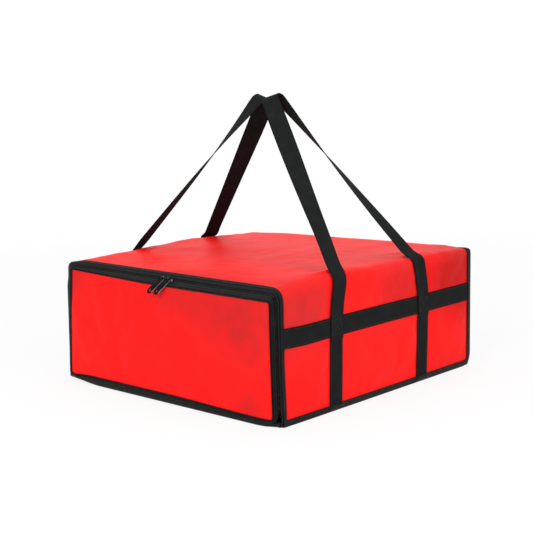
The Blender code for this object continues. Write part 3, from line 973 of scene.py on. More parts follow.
# %% Panel rows
def panel_rows(inset, low, top_radius, foot_radius, y, spacing=cloth_step):
    """A grid for an upright panel with rounded corners, and each point's distance from its edge."""
    half, high = half_width - inset, bag_height - inset
    turns = np.linspace(0.0, pi / 2, 6)
    levels, halves = [], []
    if foot_radius:
        levels += list(low + foot_radius * (1 - np.cos(turns)))
        halves += list(half - foot_radius * (1 - np.sin(turns)))
    else:
        levels.append(low)
        halves.append(half)
    start, end = low + foot_radius, high - top_radius
    count = ceil((end - start) / spacing)
    levels += [start + (end - start) * step / count for step in range(1, count)]
    halves += [half] * (count - 1)
    levels += list(end + top_radius * np.sin(turns))
    halves += list(half - top_radius * (1 - np.cos(turns)))
    levels, halves = np.array(levels), np.array(halves)
    columns = ceil(2 * half / spacing)
    shares = np.linspace(-1.0, 1.0, columns + 1)
    stations = np.empty((len(levels), len(shares), 3))
    stations[..., 0] = halves[:, None] * shares
    stations[..., 1] = y
    stations[..., 2] = levels[:, None]
    sideways = halves[:, None] - np.abs(stations[..., 0])
    upright = np.minimum(levels - low, high - levels)[:, None]
    return stations, np.minimum(sideways, upright)


def swell(distance, amount, reach):
    return amount * (1 - np.exp(-distance / reach))


panel_puff, panel_reach = 0.0040, 0.035
print("panel puff", panel_puff)

# %% The back panel
stations, distance = panel_rows(0.0, wall_foot, fold_radius, 0.0, back)
free = np.maximum(distance - binding_width, 0.0)
stations[..., 1] += swell(free, 0.0030, panel_reach) + swell(free, 0.0014, 0.02) * creased(stations, 31)
back_cloth = drape(loft("back_cloth", settle(stations), red_cloth), free, 0.010)
thicken(back_cloth, skin)
dress(back_cloth, "bag", "red_cloth", "back_outer")

turn = fold_radius - liner_depth
stations, distance = panel_rows(liner_depth, wall_foot, turn, 0.0, back - foam_depth, coarse_step)
back_padding = thicken(loft("back_padding", settle(stations), white_foam), foam)
dress(back_padding, "bag", "foam", "back_foam")

lining_inset = lined_depth + clearance
turn = fold_radius - lining_inset
stations, distance = panel_rows(lining_inset, lining_foot, turn, 0.0, back - liner_depth)
stations[..., 1] -= swell(distance, 0.0015, 0.02) * (1 + creased(stations, 41)).clip(0.0)
back_lining = thicken(loft("back_lining", settle(stations), foil), liner)
dress(back_lining, "bag", "foil_lining", "back_liner")
print("back panel:", len(back_cloth.data.vertices), "points")

# %% The flap
flap_low, flap_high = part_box("flap_outer")
flap_inset = half_width - flap_high.x
flap_radius = 0.0127
flap_top_radius = fold_radius - flap_inset
padding_inset = half_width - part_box("flap_foam")[1].x


def dimples(points):
    """Shallow hollows under the flap's top edge, where the zip is tighter than the cloth."""
    x, z = points[..., 0], points[..., 2]
    hollows = 0.0
    for place, level, wide, tall, depth in (
        (-0.195, 0.165, 0.030, 0.030, 0.0012),
        (-0.020, 0.172, 0.045, 0.022, 0.0018),
        (0.085, 0.150, 0.050, 0.030, 0.0020),
        (0.190, 0.110, 0.025, 0.060, 0.0016),
    ):
        hollows = hollows - depth * hump(x, place, wide) * hump(z, level, tall)
    return hollows


under_edging = 0.0008
reach = flap_inset - under_edging
flap_foot = flap_low.z - under_edging
flap_turns = flap_top_radius + under_edging, flap_radius + under_edging
stations, distance = panel_rows(reach, flap_foot, *flap_turns, front)
relief = swell(distance, panel_puff, panel_reach) + swell(distance, 0.0014, 0.02) * creased(stations, 51)
relief += dimples(stations) * (1 - np.exp(-distance / 0.01))
stations[..., 1] -= np.maximum(relief, 0.0)
flap_cloth = drape(loft("flap_cloth", settle(stations), red_cloth, flip=True), distance, 0.010)
thicken(flap_cloth, skin)
dress(flap_cloth, "flap", "red_cloth", "flap_outer")

padding_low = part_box("flap_foam")[0].z
padding_radius = flap_radius - (padding_inset - flap_inset)
padding_top = fold_radius - padding_inset
for name, y, thickness, look, slot, node, spacing in (
    ("flap_padding", front + foam_depth, foam, white_foam, "foam", "flap_foam", coarse_step),
    ("flap_lining", front + liner_depth, liner, foil, "foil_lining", "flap_liner", cloth_step),
):
    stations, distance = panel_rows(padding_inset, padding_low, padding_top, padding_radius, y, spacing)
    if look is foil:
        stations[..., 1] += swell(distance, 0.0015, 0.02) * (1 + creased(stations, 61)).clip(0.0)
    piece = thicken(loft(name, settle(stations), look, flip=True), thickness)
    dress(piece, "flap", slot, node)
print("flap:", len(flap_cloth.data.vertices), "points")

# %% The floor of the bag
def floor_rows(half, start, end, level):
    columns, rows = ceil(2 * half / coarse_step), ceil((end - start) / coarse_step)
    x = np.linspace(-half, half, columns + 1)
    y = np.linspace(start, end, rows + 1)
    return np.stack(np.broadcast_arrays(x[None, :], y[:, None], level), -1).astype(float)


for name, node, look, slot, thickness in (
    ("base_cloth", "bottom_outer", red_cloth, "red_cloth", skin),
    ("base_padding", "bottom_foam", white_foam, "foam", foam),
    ("base_lining", "bottom_liner", foil, "foil_lining", liner),
):
    low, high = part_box(node)
    stations = floor_rows(high.x, low.y, high.y, high.z)
    if look is foil:
        from_ends = np.minimum(stations[..., 1] - low.y, high.y - stations[..., 1])
        edge = np.minimum(high.x - np.abs(stations[..., 0]), from_ends)
        stations[..., 2] += swell(edge, 0.0012, 0.02) * (1 + creased(stations, 71)).clip(0.0)
    piece = thicken(loft(name, settle(stations), look, flip=True), thickness)
    dress(piece, "bag", slot, node)
print("floor made of three sheets")

# %% [markdown]
# ## Binding
#
# Binding is a woven tape folded over a raw edge and sewn through. Its section is a line with the fold where
# the edge is, given the tape's thickness and swept along the edge. The tape swells a little between its
# rows of stitches, so its middle stands proud. Where it crosses the webbing's ends it has to climb over
# them.

# %% Tape sections
tape_crown, webbing_climb = 0.0016, 0.0017
crown_shape = [(0.0, 0.0), (0.10, 0.85), (0.22, 1.25), (0.34, 1.05), (0.44, 0.45)]
crown_shape += [(0.54, 0.60), (0.64, 0.90), (0.74, 0.65), (0.82, 0.35), (1.0, 0.0)]


def rolled(outer, inner, lift):
    """Tape on the slope from its outer seam to its edge at the zip, swollen most near the outer seam."""
    width = inner - outer
    return [slope(outer + width * share, lift - tape_crown * height) for share, height in crown_shape]


def climb_over_band(stations, path, share):
    """Lifts a tape off the side where the level band is beneath it, by each point's share."""
    points, outs = path
    level = 1 - smooth(np.abs(points[:, 1] - band_level), strap_half - 0.001, strap_half + 0.004)
    lift = level * (np.abs(outs[:, 0]) > 0.9) * webbing_climb
    stations[..., 0] += lift[:, None] * share * outs[:, None, 0]


flap_tape_width, body_tape_width = 0.0106, 0.0107
flap_path = arch(flap_rim_foot, closed=True, foot_radius=flap_turn)
mouth_path = arch(wall_foot)
back_path = arch(wall_foot, closed=True)

face_lap = [(band_inset + 0.0016, front - 0.0007), (band_inset + 0.0008, front - 0.0011)]
flap_line = face_lap + rolled(0.0006, flap_tape_width, 0.0004)
section, across = thick(flap_line, binding)
flap_edging = loft("flap_edging", settle(around_arch(flap_path, section)), binding_tape, across, True, True)
dress(flap_edging, "flap", "binding", "flap_binding")

wall_lap = [(-0.0006, wall_front - 0.0004), (-0.0008, wall_front + 0.0006), (-0.0008, wall_front + 0.0018)]
mouth_line = rolled(slope_width - 0.0008, slope_width - body_tape_width, 0.0004)[::-1] + wall_lap
section, across = thick(mouth_line, binding)
stations = around_arch(mouth_path, section)
lap_share = smooth(section[:, 1], front + band_inset - 0.002, wall_front + 0.0006)
climb_over_band(stations, mouth_path, lap_share)
mouth_edging = loft("mouth_edging", settle(stations), binding_tape, across, True)
dress(mouth_edging, "bag", "binding", "front_opening_binding")

side_lap = [(-0.0008, back - binding_width), (-0.0010, back - 0.0085), (-0.0012, back - 0.0050)]
fold_over = [(-0.0011, back - 0.0018), (-0.0006, back + 0.0002), (0.0008, back + 0.0010)]
rear_lap = [(0.0040, back + 0.0012), (0.0080, back + 0.0010), (binding_width, back + 0.0008)]
back_line = side_lap + fold_over + rear_lap
section, across = thick(back_line, binding)
stations = around_arch(back_path, section)
lap_share = 1 - smooth(section[:, 1], back - 0.0080, back - 0.0020)
climb_over_band(stations, back_path, lap_share)
back_edging = loft("back_edging", settle(stations), binding_tape, across, True, True)
dress(back_edging, "bag", "binding", "back_binding")
print("edging round the flap", round(float(lengths(flap_path[0])[-1]), 3), "m")

# %% Binding inside, over the lining's edge
inner_lap = 0.0090
flap_inner = [slope(0.0085, 0.0030), (band_inset - 0.0035, front + lined_depth + 0.0008)]
flap_inner += [(band_inset + step, front + lined_depth + 0.0009) for step in (0.0010, 0.0050, inner_lap)]
mouth_inner = [slope(0.0150, 0.0034), (lined_depth + 0.0018, front + band_inset)]
mouth_inner += [(lined_depth + 0.0009, wall_front + step) for step in (0.0010, 0.0050, inner_lap)]
for name, line, path, closed, body in (
    ("flap_lining_edging", flap_inner, flap_path, True, "flap"),
    ("mouth_lining_edging", mouth_inner, arch(lining_foot), False, "bag"),
):
    section, across = thick(line, binding * 0.8)
    piece = loft(name, settle(around_arch(path, section)), binding_tape, across, True, closed)
    dress(piece, body, "binding")
print("inner edging laps the lining by", inner_lap)

# %% Binding over the front edge of the floor, which the pizza boxes slide across
def along_x(x, section):
    """Stations of a section, given as places along Y and Z, swept along X."""
    stations = np.empty((len(x), len(section), 3))
    stations[..., 0], stations[..., 1], stations[..., 2] = x[:, None], section[:, 0], section[:, 1]
    return stations


floor_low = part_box("bottom_liner")[0]
floor_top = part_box("bottom_liner")[1].z + 0.0022
sill_line = [(wall_front - 0.0012, 0.0012), (wall_front - 0.0022, 0.0030)]
sill_line += [(wall_front - 0.0022, floor_top - 0.0022), (wall_front - 0.0012, floor_top - 0.0004)]
sill_line += [(wall_front + 0.0010, floor_top)]
sill_line += [(wall_front + step, floor_top - 0.0002) for step in (0.0050, inner_lap)]
section, across = thick(sill_line, binding * 0.8)
stations = along_x(np.linspace(floor_low.x + 0.002, -floor_low.x - 0.002, 60), section)
dress(loft("sill_edging", settle(stations), binding_tape, across, True), "bag", "binding")
print("sill edging at", round(floor_top, 4), "above the floor")

# %% Edging along the bottom
seam_back = back - binding_width - clearance


def over_straps(label, y):
    """How far the bottom edging is lifted by the straps that end beneath it."""
    lift = 0.0
    for place in strap_places[label]:
        lift = lift + 1 - smooth(np.abs(y - place), strap_half - 0.001, strap_half + 0.005)
    return lift * webbing_climb


base_line = [(-0.0008, binding_width), (-0.0010, 0.0088), (-0.0011, 0.0050), (-0.0010, 0.0022)]
base_line += [(-0.0006, 0.0010), (0.0004, 0.0006)]
base_line += [(along, 0.0005) for along in (0.0020, 0.0060, binding_width)]
for label, side in side_signs.items():
    section, across = thick(base_line, binding)
    y = np.linspace(wall_front, seam_back, 120)
    stations = np.empty((len(y), len(section), 3))
    stations[..., 0] = side * (half_width - section[:, 0])
    stations[..., 1] = y[:, None]
    stations[..., 2] = section[:, 1].clip(0.0)
    stations[..., 0] += side * over_straps(label, y)[:, None] * smooth(section[:, 1], 0.0010, 0.0040)
    piece = loft(f"base_edging_{label}", settle(stations), binding_tape, across, True)
    dress(piece, "bag", "binding", f"bottom_binding_{label}")
print("bottom edging ends at", round(seam_back, 4))

# %% [markdown]
# The strip that hinges the flap is sewn to the flap's edge above and to the floor panel behind, so it
# belongs to two bodies.

# %% Hinge cloth
strip_low, strip_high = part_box("hinge_strip")
strip_line = [(strip_high.y, 0.0005)] + [(front + step, 0.0005) for step in (0.0140, 0.0090, 0.0040, 0.0015)]
strip_line += [(front + 0.0002, 0.0008), (front - 0.0008, 0.0017), (front - 0.0014, 0.0034)]
strip_line += [(front - 0.0018, 0.0062), (front - 0.0019, 0.0095), (front - 0.0016, 0.0128)]
strip_line += [(front - 0.0009, 0.0154), (front + 0.0002, 0.0172), (front + 0.0014, 0.0184)]
section, across = thick(strip_line, binding)
x = np.linspace(strip_low.x, strip_high.x, 80)
stations = along_x(x, section)
stations[..., 2] = stations[..., 2].clip(0.0)
turned_back = 0.0120 * smooth(np.abs(x), 0.225, strip_high.x)[:, None]
stations[..., 1] += turned_back * (1 - smooth(section[:, 0], front + 0.004, front + 0.014))
stations[..., 2] *= 1 - 0.25 * smooth(np.abs(x), 0.230, strip_high.x)[:, None]
hinge_cloth = loft("hinge_cloth", settle(stations), binding_tape, across, True)
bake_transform(hinge_cloth)
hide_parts("hinge_strip")
print("hinge cloth", round(strip_high.x - strip_low.x, 3), "m long")

# %% Corner gussets: cloth that closes the bag where the zip ends, behind the flap's round corners
gusset_behind = 0.0032
turn_x, turn_z = half_width - flap_turn, flap_rim_foot + flap_turn
for label, side in side_signs.items():
    stations = np.empty((15, 10, 3))
    for i, angle in enumerate(np.linspace(0.0, pi / 2, 15)):
        far = min((flap_turn - 0.0012) / max(cos(angle), 1e-6), (turn_z - 0.0012) / max(sin(angle), 1e-6))
        for j, reach in enumerate(np.linspace(0.0185, far, 10)):
            depth = max(flap_turn - reach, -0.0004)
            y = front + band_inset - depth + gusset_behind
            across, level = side * (turn_x + reach * cos(angle)), turn_z - reach * sin(angle)
            stations[i, j] = across, min(y, wall_front + 0.0024), level
    piece = thicken(loft(f"corner_gusset_{label}", settle(stations), binding_tape, flip=side > 0), 0.0008)
    dress(piece, "bag", "binding")
print("gussets close the two lower corners")

# %% [markdown]
# ## Zip
#
# Each side of the zip is a woven tape with a nylon coil sewn along its edge. The coil is one filament wound
# like a flattened spring, and the two interlock, so one is half a turn behind the other. A line of dots or
# a bump would do from far off, but the flap opens and shows them, so the filament is a real tube.

# %% Tapes and coils
zip_middle = (flap_tape_width + slope_width - body_tape_width) / 2
tape_start, tape_reach = 0.0003, 0.0085
tape_behind = 0.00155
coil_pitch, coil_radius = 0.0015, 0.00026
coil_out, coil_across, coil_spacing = 0.00042, 0.00085, 0.0019
turn_steps, filament_sides = 8, 5
slanting = (0.31, 0.52, 0.80)
zip_path = arch(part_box("zip_tape_body")[0].z)


def along_path(path, spacing):
    """The same path with evenly spaced points."""
    points, outs = path
    place = lengths(points)
    even = np.linspace(0.0, place[-1], ceil(place[-1] / spacing) + 1)
    finer = [np.interp(even, place, values) for values in (*points.T, *outs.T)]
    outs = np.stack(finer[2:], 1)
    return np.stack(finer[:2], 1), unit(outs), even


def slope_points(points, outs, along, behind):
    """Places on the slope for each point of a path, at its own distances along and behind."""
    depth = band_inset - (along - behind) / sqrt(2)
    flat = points - outs * depth[:, None]
    return np.stack([flat[:, 0], front + (along + behind) / sqrt(2), flat[:, 1]], 1)


def tube_rings(line, radius, sides):
    """Rings of points round a line, for a filament or a thread."""
    heading = unit(np.gradient(line, axis=0))
    across = unit(np.cross(heading, slanting))
    return ring_points(line, across, np.cross(heading, across), radius, sides)


for label, sign, body, nodes in (
    ("flap", -1, "flap", ("zip_tape_flap", "zip_coil_flap")),
    ("bag", 1, "bag", ("zip_tape_body", "zip_coil_body")),
):
    edge = zip_middle + sign * tape_start
    far = edge + sign * tape_reach
    line = [slope(edge + (far - edge) * share, tape_behind) for share in np.linspace(0.0, 1.0, 5)]
    section, across = thick(line, 0.0005)
    tape = loft(f"zip_tape_on_{label}", settle(around_arch(zip_path, section)), zip_tape, across, True)
    dress(tape, body, "zip_nylon", nodes[0])
    points, outs, place = along_path(zip_path, coil_pitch / turn_steps)
    turn = 2 * pi * place / coil_pitch + (pi if sign > 0 else 0.0)
    along = zip_middle + sign * coil_spacing / 2 + coil_across * np.cos(turn)
    behind = clearance / 2 - coil_out * np.sin(turn)
    wire = settle(slope_points(points, outs, along, behind))
    coil = loft(f"zip_coil_on_{label}", tube_rings(wire, coil_radius, filament_sides), nylon, None, True)
    dress(coil, body, "zip_nylon", nodes[1])
print("turns in each coil:", round(float(place[-1] / coil_pitch)))

# %% [markdown]
# The sliders are cast and enamelled. Each has a plate with rounded shoulders, a raised rim and a bridge,
# and the pull hangs from the bridge by its bar. Curves with a bevel give every edge a small radius, and it
# is that radius that catches the light.

# %% The zip's own axes on the top run
slider_clear = 0.00085
plate_thickness = 0.0016


def slope_frame(x):
    """Axes for a slider at x: along the zip, up the slope, and out of it."""
    depth, y = slope(zip_middle, 0.0)
    axes = Matrix(((1, 0, 0), (0, sqrt(0.5), sqrt(0.5)), (0, -sqrt(0.5), sqrt(0.5)))).transposed().to_4x4()
    axes.translation = (x, y, bag_height - depth)
    return axes


def cut_shape(name, outlines, thickness, edge, matrix):
    """A flat shape with rounded edges, cut from sheet; outlines after the first are holes."""
    data = bpy.data.curves.new(name, "CURVE")
    data.dimensions = "2D"
    data.fill_mode = "BOTH"
    data.extrude = thickness / 2 - edge
    data.bevel_depth = edge
    data.bevel_resolution = 2
    data.offset = -edge
    for points in outlines:
        line = data.splines.new("POLY")
        line.points.add(len(points) - 1)
        line.use_cyclic_u = True
        for point, (x, y) in zip(line.points, points):
            point.co = (x, y, 0.0, 1.0)
    drawn = add_object(name + "_drawn", data)
    bpy.context.view_layer.update()
    mesh = bpy.data.meshes.new_from_object(drawn.evaluated_get(bpy.context.evaluated_depsgraph_get()))
    bpy.data.objects.remove(drawn)
    face_outward(mesh, weld=0.00001)
    mesh.transform(matrix)
    mesh.shade_smooth()
    mesh.set_sharp_from_angle(angle=radians(35))
    mesh.materials.clear()
    mesh.materials.append(enamel)
    return add_object(name, mesh)


def arc(middle, radius, start, end, steps):
    angles = np.linspace(start, end, steps + 1)
    return [(middle[0] + radius * cos(a), middle[1] + radius * sin(a)) for a in angles]


def join(name, pieces):
    """Joins pieces that are one casting on the real thing."""
    joined = bmesh.new()
    for piece in pieces:
        joined.from_mesh(piece.data)
    data = pieces[0].data
    joined.to_mesh(data)
    joined.free()
    for piece in pieces[1:]:
        bpy.data.objects.remove(piece)
    pieces[0].name = name
    return pieces[0]


print("slider plate sits", slider_clear, "above the coils")

# %% Sliders
half_long = 0.0055
bridge_span, bridge_rise, bridge_half_width, bridge_gauge = 0.0092, 0.0050, 0.0008, 0.0011


def slider_outline(nose):
    """A shield: two round lobes at the nose, drawn in behind them to a square tail."""
    upper = arc((nose * 0.0024, 0.0018), 0.0027, 0.0 if nose > 0 else pi, pi / 2, 5)
    waist = [(-nose * 0.0010, 0.0036), (-nose * 0.0045, 0.0036), (-nose * half_long, 0.0028)]
    half = upper + waist
    return half + [(x, -y) for x, y in reversed(half)]


def bridge_line(steps=16):
    """The bridge's centre line in the plane along the zip: up, over in a soft arch, and down."""
    half = (bridge_span - bridge_gauge) / 2
    low = slider_clear + plate_thickness / 2
    high = slider_clear + plate_thickness + bridge_rise - bridge_gauge / 2
    shoulder = high - 0.0014
    over = [(half * cos(angle), shoulder + 0.0014 * sin(angle)) for angle in np.linspace(pi, 0.0, steps)]
    return [(-half, low), (-half, shoulder - 0.0008)] + over + [(half, shoulder - 0.0008), (half, low)]


def make_slider(label, x, nose):
    axes = slope_frame(x)
    lift = Matrix.Translation((0, 0, slider_clear + plate_thickness / 2))
    plate = cut_shape(f"plate_{label}", [slider_outline(nose)], plate_thickness, 0.0005, axes @ lift)
    rim_lift = Matrix.Translation((0, 0, slider_clear + plate_thickness + 0.0001))
    rim = [(x * 0.72, y * 0.66) for x, y in slider_outline(nose)]
    boss = cut_shape(f"boss_{label}", [rim], 0.0007, 0.0002, axes @ rim_lift)
    section, across = thick([(share * bridge_half_width, 0.0) for share in (-1.0, 0.0, 1.0)], bridge_gauge)
    line = np.array(bridge_line())
    heading = unit(np.gradient(line, axis=0))
    stations = np.zeros((len(line), len(section), 3))
    stations[..., 0] = line[:, None, 0] - heading[:, None, 1] * section[:, 1]
    stations[..., 1] = section[:, 0]
    stations[..., 2] = line[:, None, 1] + heading[:, None, 0] * section[:, 1]
    bridge = loft(f"bridge_{label}", stations, enamel, across, True, sharp=35)
    bridge.data.transform(axes)
    return join(f"slider_body_{label}", [plate, boss, bridge])


slider_places = {}
for label, nose in (("left", 1), ("right", -1)):
    low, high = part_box(f"slider_{label}")
    slider_places[label] = (low.x + high.x) / 2
    slider = make_slider(label, slider_places[label], nose)
    dress(slider, f"slider_{label}", "zip_metal", f"slider_{label}")
print("sliders at", {k: round(v, 4) for k, v in slider_places.items()})

# %% Pulls
pull_length, pull_width, pull_thickness = 0.0370, 0.0130, 0.0013
pull_ring_width, pull_ring_length = 0.0118, 0.0140
pull_eye_width, pull_eye_length, pull_bar = 0.0092, 0.0050, 0.0014
pull_hole_radius, pull_hole_inset = 0.0018, 0.0060
pull_droops, pull_tilt = {"left": radians(31.0), "right": radians(30.0)}, radians(7.0)
pivot_lift = slider_clear + plate_thickness + bridge_rise / 2 - bridge_gauge / 2


def pull_frame(x, droop):
    """The pull's own axes: its bar, its length towards the tip, and the normal of its flat."""
    sideways, down = sin(droop) * cos(pull_tilt), cos(droop) * cos(pull_tilt)
    length = Vector((-sideways, -down, -sin(pull_tilt)))
    bar = length.cross(Vector((0.0, 0.0, 1.0))).normalized()
    axes = Matrix((bar, length, bar.cross(length))).transposed().to_4x4()
    axes.translation = (0.0, 0.0, pivot_lift)
    return slope_frame(x) @ axes


def make_pull(label, x):
    ring, half, top, corner = pull_ring_width / 2, pull_width / 2, -pull_bar / 2, 0.0020
    tip_middle = pull_length - half
    outer = arc((ring - corner, top + corner), corner, -pi / 2, 0.0, 4) + [(ring, pull_ring_length)]
    outer += arc((0.0, tip_middle), half, 0.0, pi, 20) + [(-ring, pull_ring_length)]
    outer += arc((corner - ring, top + corner), corner, pi, pi * 3 / 2, 4)
    eye, eye_top = pull_eye_width / 2, pull_bar / 2
    eye_end = eye_top + pull_eye_length
    slot = [(-eye, eye_top), (eye, eye_top), (eye, eye_end), (-eye, eye_end)]
    hole = arc((0.0, pull_length - pull_hole_inset), pull_hole_radius, 0.0, pi * 23 / 12, 23)
    axes = pull_frame(x, pull_droops[label])
    pull = cut_shape(f"pull_tab_{label}", [outer, slot, hole], pull_thickness, 0.0003, axes)
    # The side rims along the pull's middle take bare steel, worn metal that also paints the highlight along
    # them.
    pull.data.materials.append(rim_wear_and_highlight)
    bar, along, flat = (axes.col[k].to_3d() for k in range(3))
    for face in pull.data.polygons:
        place = (face.center - axes.translation).dot(along)
        rim = abs(face.normal.dot(flat)) < 0.6 and abs(face.normal.dot(bar)) > 0.7
        face.material_index = int(rim and pull_ring_length * 0.4 < place < tip_middle)
    return pull


for label, x in slider_places.items():
    dress(make_pull(label, x), f"pull_{label}", "zip_metal", f"pull_{label}")
print("pulls hang", pull_length, "m")

# %% Zip stops
for label, side in side_signs.items():
    low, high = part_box(f"zip_end_stop_{label}")
    middle = (Vector(low) + Vector(high)) / 2
    facing = Matrix.Translation(middle) @ Matrix.Rotation(side * pi / 4, 4, "Z")
    facing = facing @ Matrix.Rotation(pi / 2, 4, "X")
    half_x, half_z = 0.0016, 0.0015
    outline = [(-half_x, -half_z), (half_x, -half_z), (half_x, half_z), (-half_x, half_z)]
    stop = cut_shape(f"zip_stop_{label}", [outline], 0.0012, 0.0003, facing)
    dress(stop, "bag", "zip_metal", f"zip_end_stop_{label}")
print("zip stops made")

# %% [markdown]
# ## Webbing
#
# The level bands are sewn flat. The carry webbing is one length a side: it starts under the bottom edging,
# climbs over the band, runs free over the top edge, turns most of a quarter on its way up, bends back at
# the top and comes down again. It is made as one ribbon along that whole route. The two loops lean
# together, and their spacing at the top is what keeps them from cutting each other.

# %% Ribbons
webbing_thickness = 0.0015
strap_flat = clearance + webbing_thickness / 2
strap_over_band = clearance + webbing_thickness + strap_flat


def ribbon_stations(centres, edges):
    """Stations of a webbing's section: it is flat, with its selvages rounded."""
    centres, edges = np.asarray(centres, float), np.asarray(edges, float)
    normals = unit(np.cross(edges, np.gradient(centres, axis=0)))
    shares = np.array([-1.0, -0.97, -0.90, -0.6, -0.3, 0.0, 0.3, 0.6, 0.90, 0.97, 1.0])
    section, across = thick(np.stack([shares * webbing_width / 2, 0 * shares], 1), webbing_thickness, 0.6)
    body = centres[:, None] + section[None, :, :1] * edges[:, None]
    return body + section[None, :, 1:] * normals[:, None], across


for label, side in side_signs.items():
    y = np.linspace(wall_front - 0.0010, seam_back + 0.0030, 110)
    centres = [(side * (half_width + strap_flat), place, band_level) for place in y]
    stations, across = ribbon_stations(centres, [(0.0, 0.0, 1.0)] * len(y))
    band = loft(f"side_band_{label}", settle(stations), webbing, across, True)
    dress(band, "bag", "webbing", f"band_{label}")
print("bands", round(float(y[-1] - y[0]), 3), "m long")

# %% The carry webbing's route
strap_top = band_top + 0.0010
apex_heights, apex_half_spacing, apex_radius = {"left": 0.5030, "right": 0.5057}, 0.0139, 0.0148
apex_places = {"left": 0.0120, "right": 0.0060}
lean_length, leg_steps, apex_steps = 0.0400, 60, 16
apex_turns, turn_powers = {"left": radians(69), "right": radians(66)}, {"left": 3.6, "right": 1.64}
leg_turns = {"left": (radians(51), radians(57)), "right": (radians(-20), radians(-26))}


def turned(label, leg, rise):
    """How far the webbing has turned about its own line: it eases in from its seam and is set at the top."""
    return apex_turns[label] * rise ** turn_powers[label] + leg_turns[label][leg] * rise * (1 - rise)


def side_profile(apex_height):
    """The loop's line seen from the front: up the side, over the fold, then straight to the top."""
    radius = fold_radius + strap_over_band
    middle_x, middle_z = half_width - fold_radius, bag_height - fold_radius
    reach_x, reach_z = middle_x - apex_half_spacing, apex_height - middle_z
    distance = sqrt(reach_x**2 + reach_z**2)
    leg = sqrt(distance**2 - radius**2)
    lean = atan2(reach_x, reach_z) + atan2(radius, leg)
    riser = middle_z - strap_top - clearance

    def at(u):
        if u <= riser:
            return (middle_x + radius, strap_top + clearance + u), (0.0, 1.0), (1.0, 0.0)
        turn = min((u - riser) / radius, lean)
        out, onward = (cos(turn), sin(turn)), (-sin(turn), cos(turn))
        rest = max(u - riser - radius * lean, 0.0)
        x, z = (middle + radius * o + rest * n for middle, o, n in zip((middle_x, middle_z), out, onward))
        return (x, z), onward, out

    return at, riser + radius * lean + leg


def flat_route(half_spacing, length):
    """The loop laid flat: distance up the side against distance from its middle line."""
    centre = length - apex_radius
    reach = centre - lean_length / 2
    angle_part = apex_radius * sqrt(half_spacing**2 + reach**2 - apex_radius**2)
    angle = atan2(half_spacing * reach - angle_part, reach**2 - apex_radius**2)
    last = centre + apex_radius * sin(angle)
    leg = []
    for step in range(leg_steps + 1):
        u = last * step / leg_steps
        bent = min(u, lean_length)
        leg.append((u, sin(angle) / cos(angle) * (bent**2 / (2 * lean_length) + u - bent) - half_spacing))
    turn = arc((centre, 0.0), apex_radius, angle - pi / 2, pi / 2 - angle, apex_steps)
    return leg[:-1] + turn + [(u, -y) for u, y in reversed(leg[:-1])]


def loop_line(label, side):
    """Centres and edge directions of one free loop, from its front foot to its rear foot."""
    at, length = side_profile(apex_heights[label])
    front_foot, rear_foot = strap_places[label]
    middle = (rear_foot + front_foot) / 2
    route = flat_route((rear_foot - front_foot) / 2, length)
    centres, edges = [], []
    for i, (u, y) in enumerate(route):
        (x, z), onward, out = at(u)
        if i in (0, len(route) - 1):
            heading = Vector((1.0 if i == 0 else -1.0, 0.0))
        else:
            heading = (Vector(route[i + 1]) - Vector(route[i - 1])).normalized()
        climb, outward = Vector((onward[0], 0.0, onward[1])), Vector((out[0], 0.0, out[1]))
        across = -heading.y * climb + heading.x * Vector((0.0, 1.0, 0.0))
        rise = min(u / (length - apex_radius), 1.0)
        twist = turned(label, int(i > len(route) // 2), rise)
        edge = cos(twist) * across + sin(twist) * outward
        centres.append((side * x, middle + y + (apex_places[label] - middle) * rise, z))
        edges.append((side * edge.x, edge.y, edge.z))
    return centres, edges


def strap_line(side, y):
    """Centres of the sewn strap below a loop, from under the bottom edging to over the band."""
    ramp_low, ramp_high = band_foot - 0.0085, band_foot - 0.0010
    centres = []
    for z in np.linspace(0.0035, strap_top, 46):
        share = float(smooth(z, ramp_low, ramp_high))
        x = half_width + strap_flat + (strap_over_band - strap_flat) * share
        centres.append((side * x, y, z))
    return centres


carry_lengths = {}
for label, side in side_signs.items():
    front_strap, rear_strap = (strap_line(side, place) for place in strap_places[label])
    loop, loop_edges = loop_line(label, side)
    centres = front_strap + loop + rear_strap[::-1]
    edges = [(0.0, 1.0, 0.0)] * len(front_strap) + loop_edges + [(0.0, -1.0, 0.0)] * len(rear_strap)
    stations, across = ribbon_stations(centres, edges)
    carry = loft(f"carry_webbing_{label}", settle(stations), webbing, across, True)
    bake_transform(carry)
    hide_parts(f"handle_{label}", f"strap_front_{label}", f"strap_rear_{label}")
    carry_lengths[label] = float(lengths(np.array(centres))[-1])
print("carry webbing, metres a side:", {k: round(v, 3) for k, v in carry_lengths.items()})

# %% [markdown]
# ## Stitches
#
# Sewing is what makes cloth look made. Each stitch is a short length of thread that dips into the cloth at
# both ends, so a row is made by walking along a line and laying one arched thread per step. A texture of
# dashes would be lighter, but it would not be part of the shape.

# %% Laying a row of stitches
thread_radius, stitch_length, stitch_gap = 0.00028, 0.0030, 0.0009
stitch_stations, stitch_sides, look_ahead = 5, 5, 0.0002


def read_line(at, place, values):
    """Values of a line at distances along it."""
    return np.stack([np.interp(at, place, values[:, k]) for k in range(3)], 1)


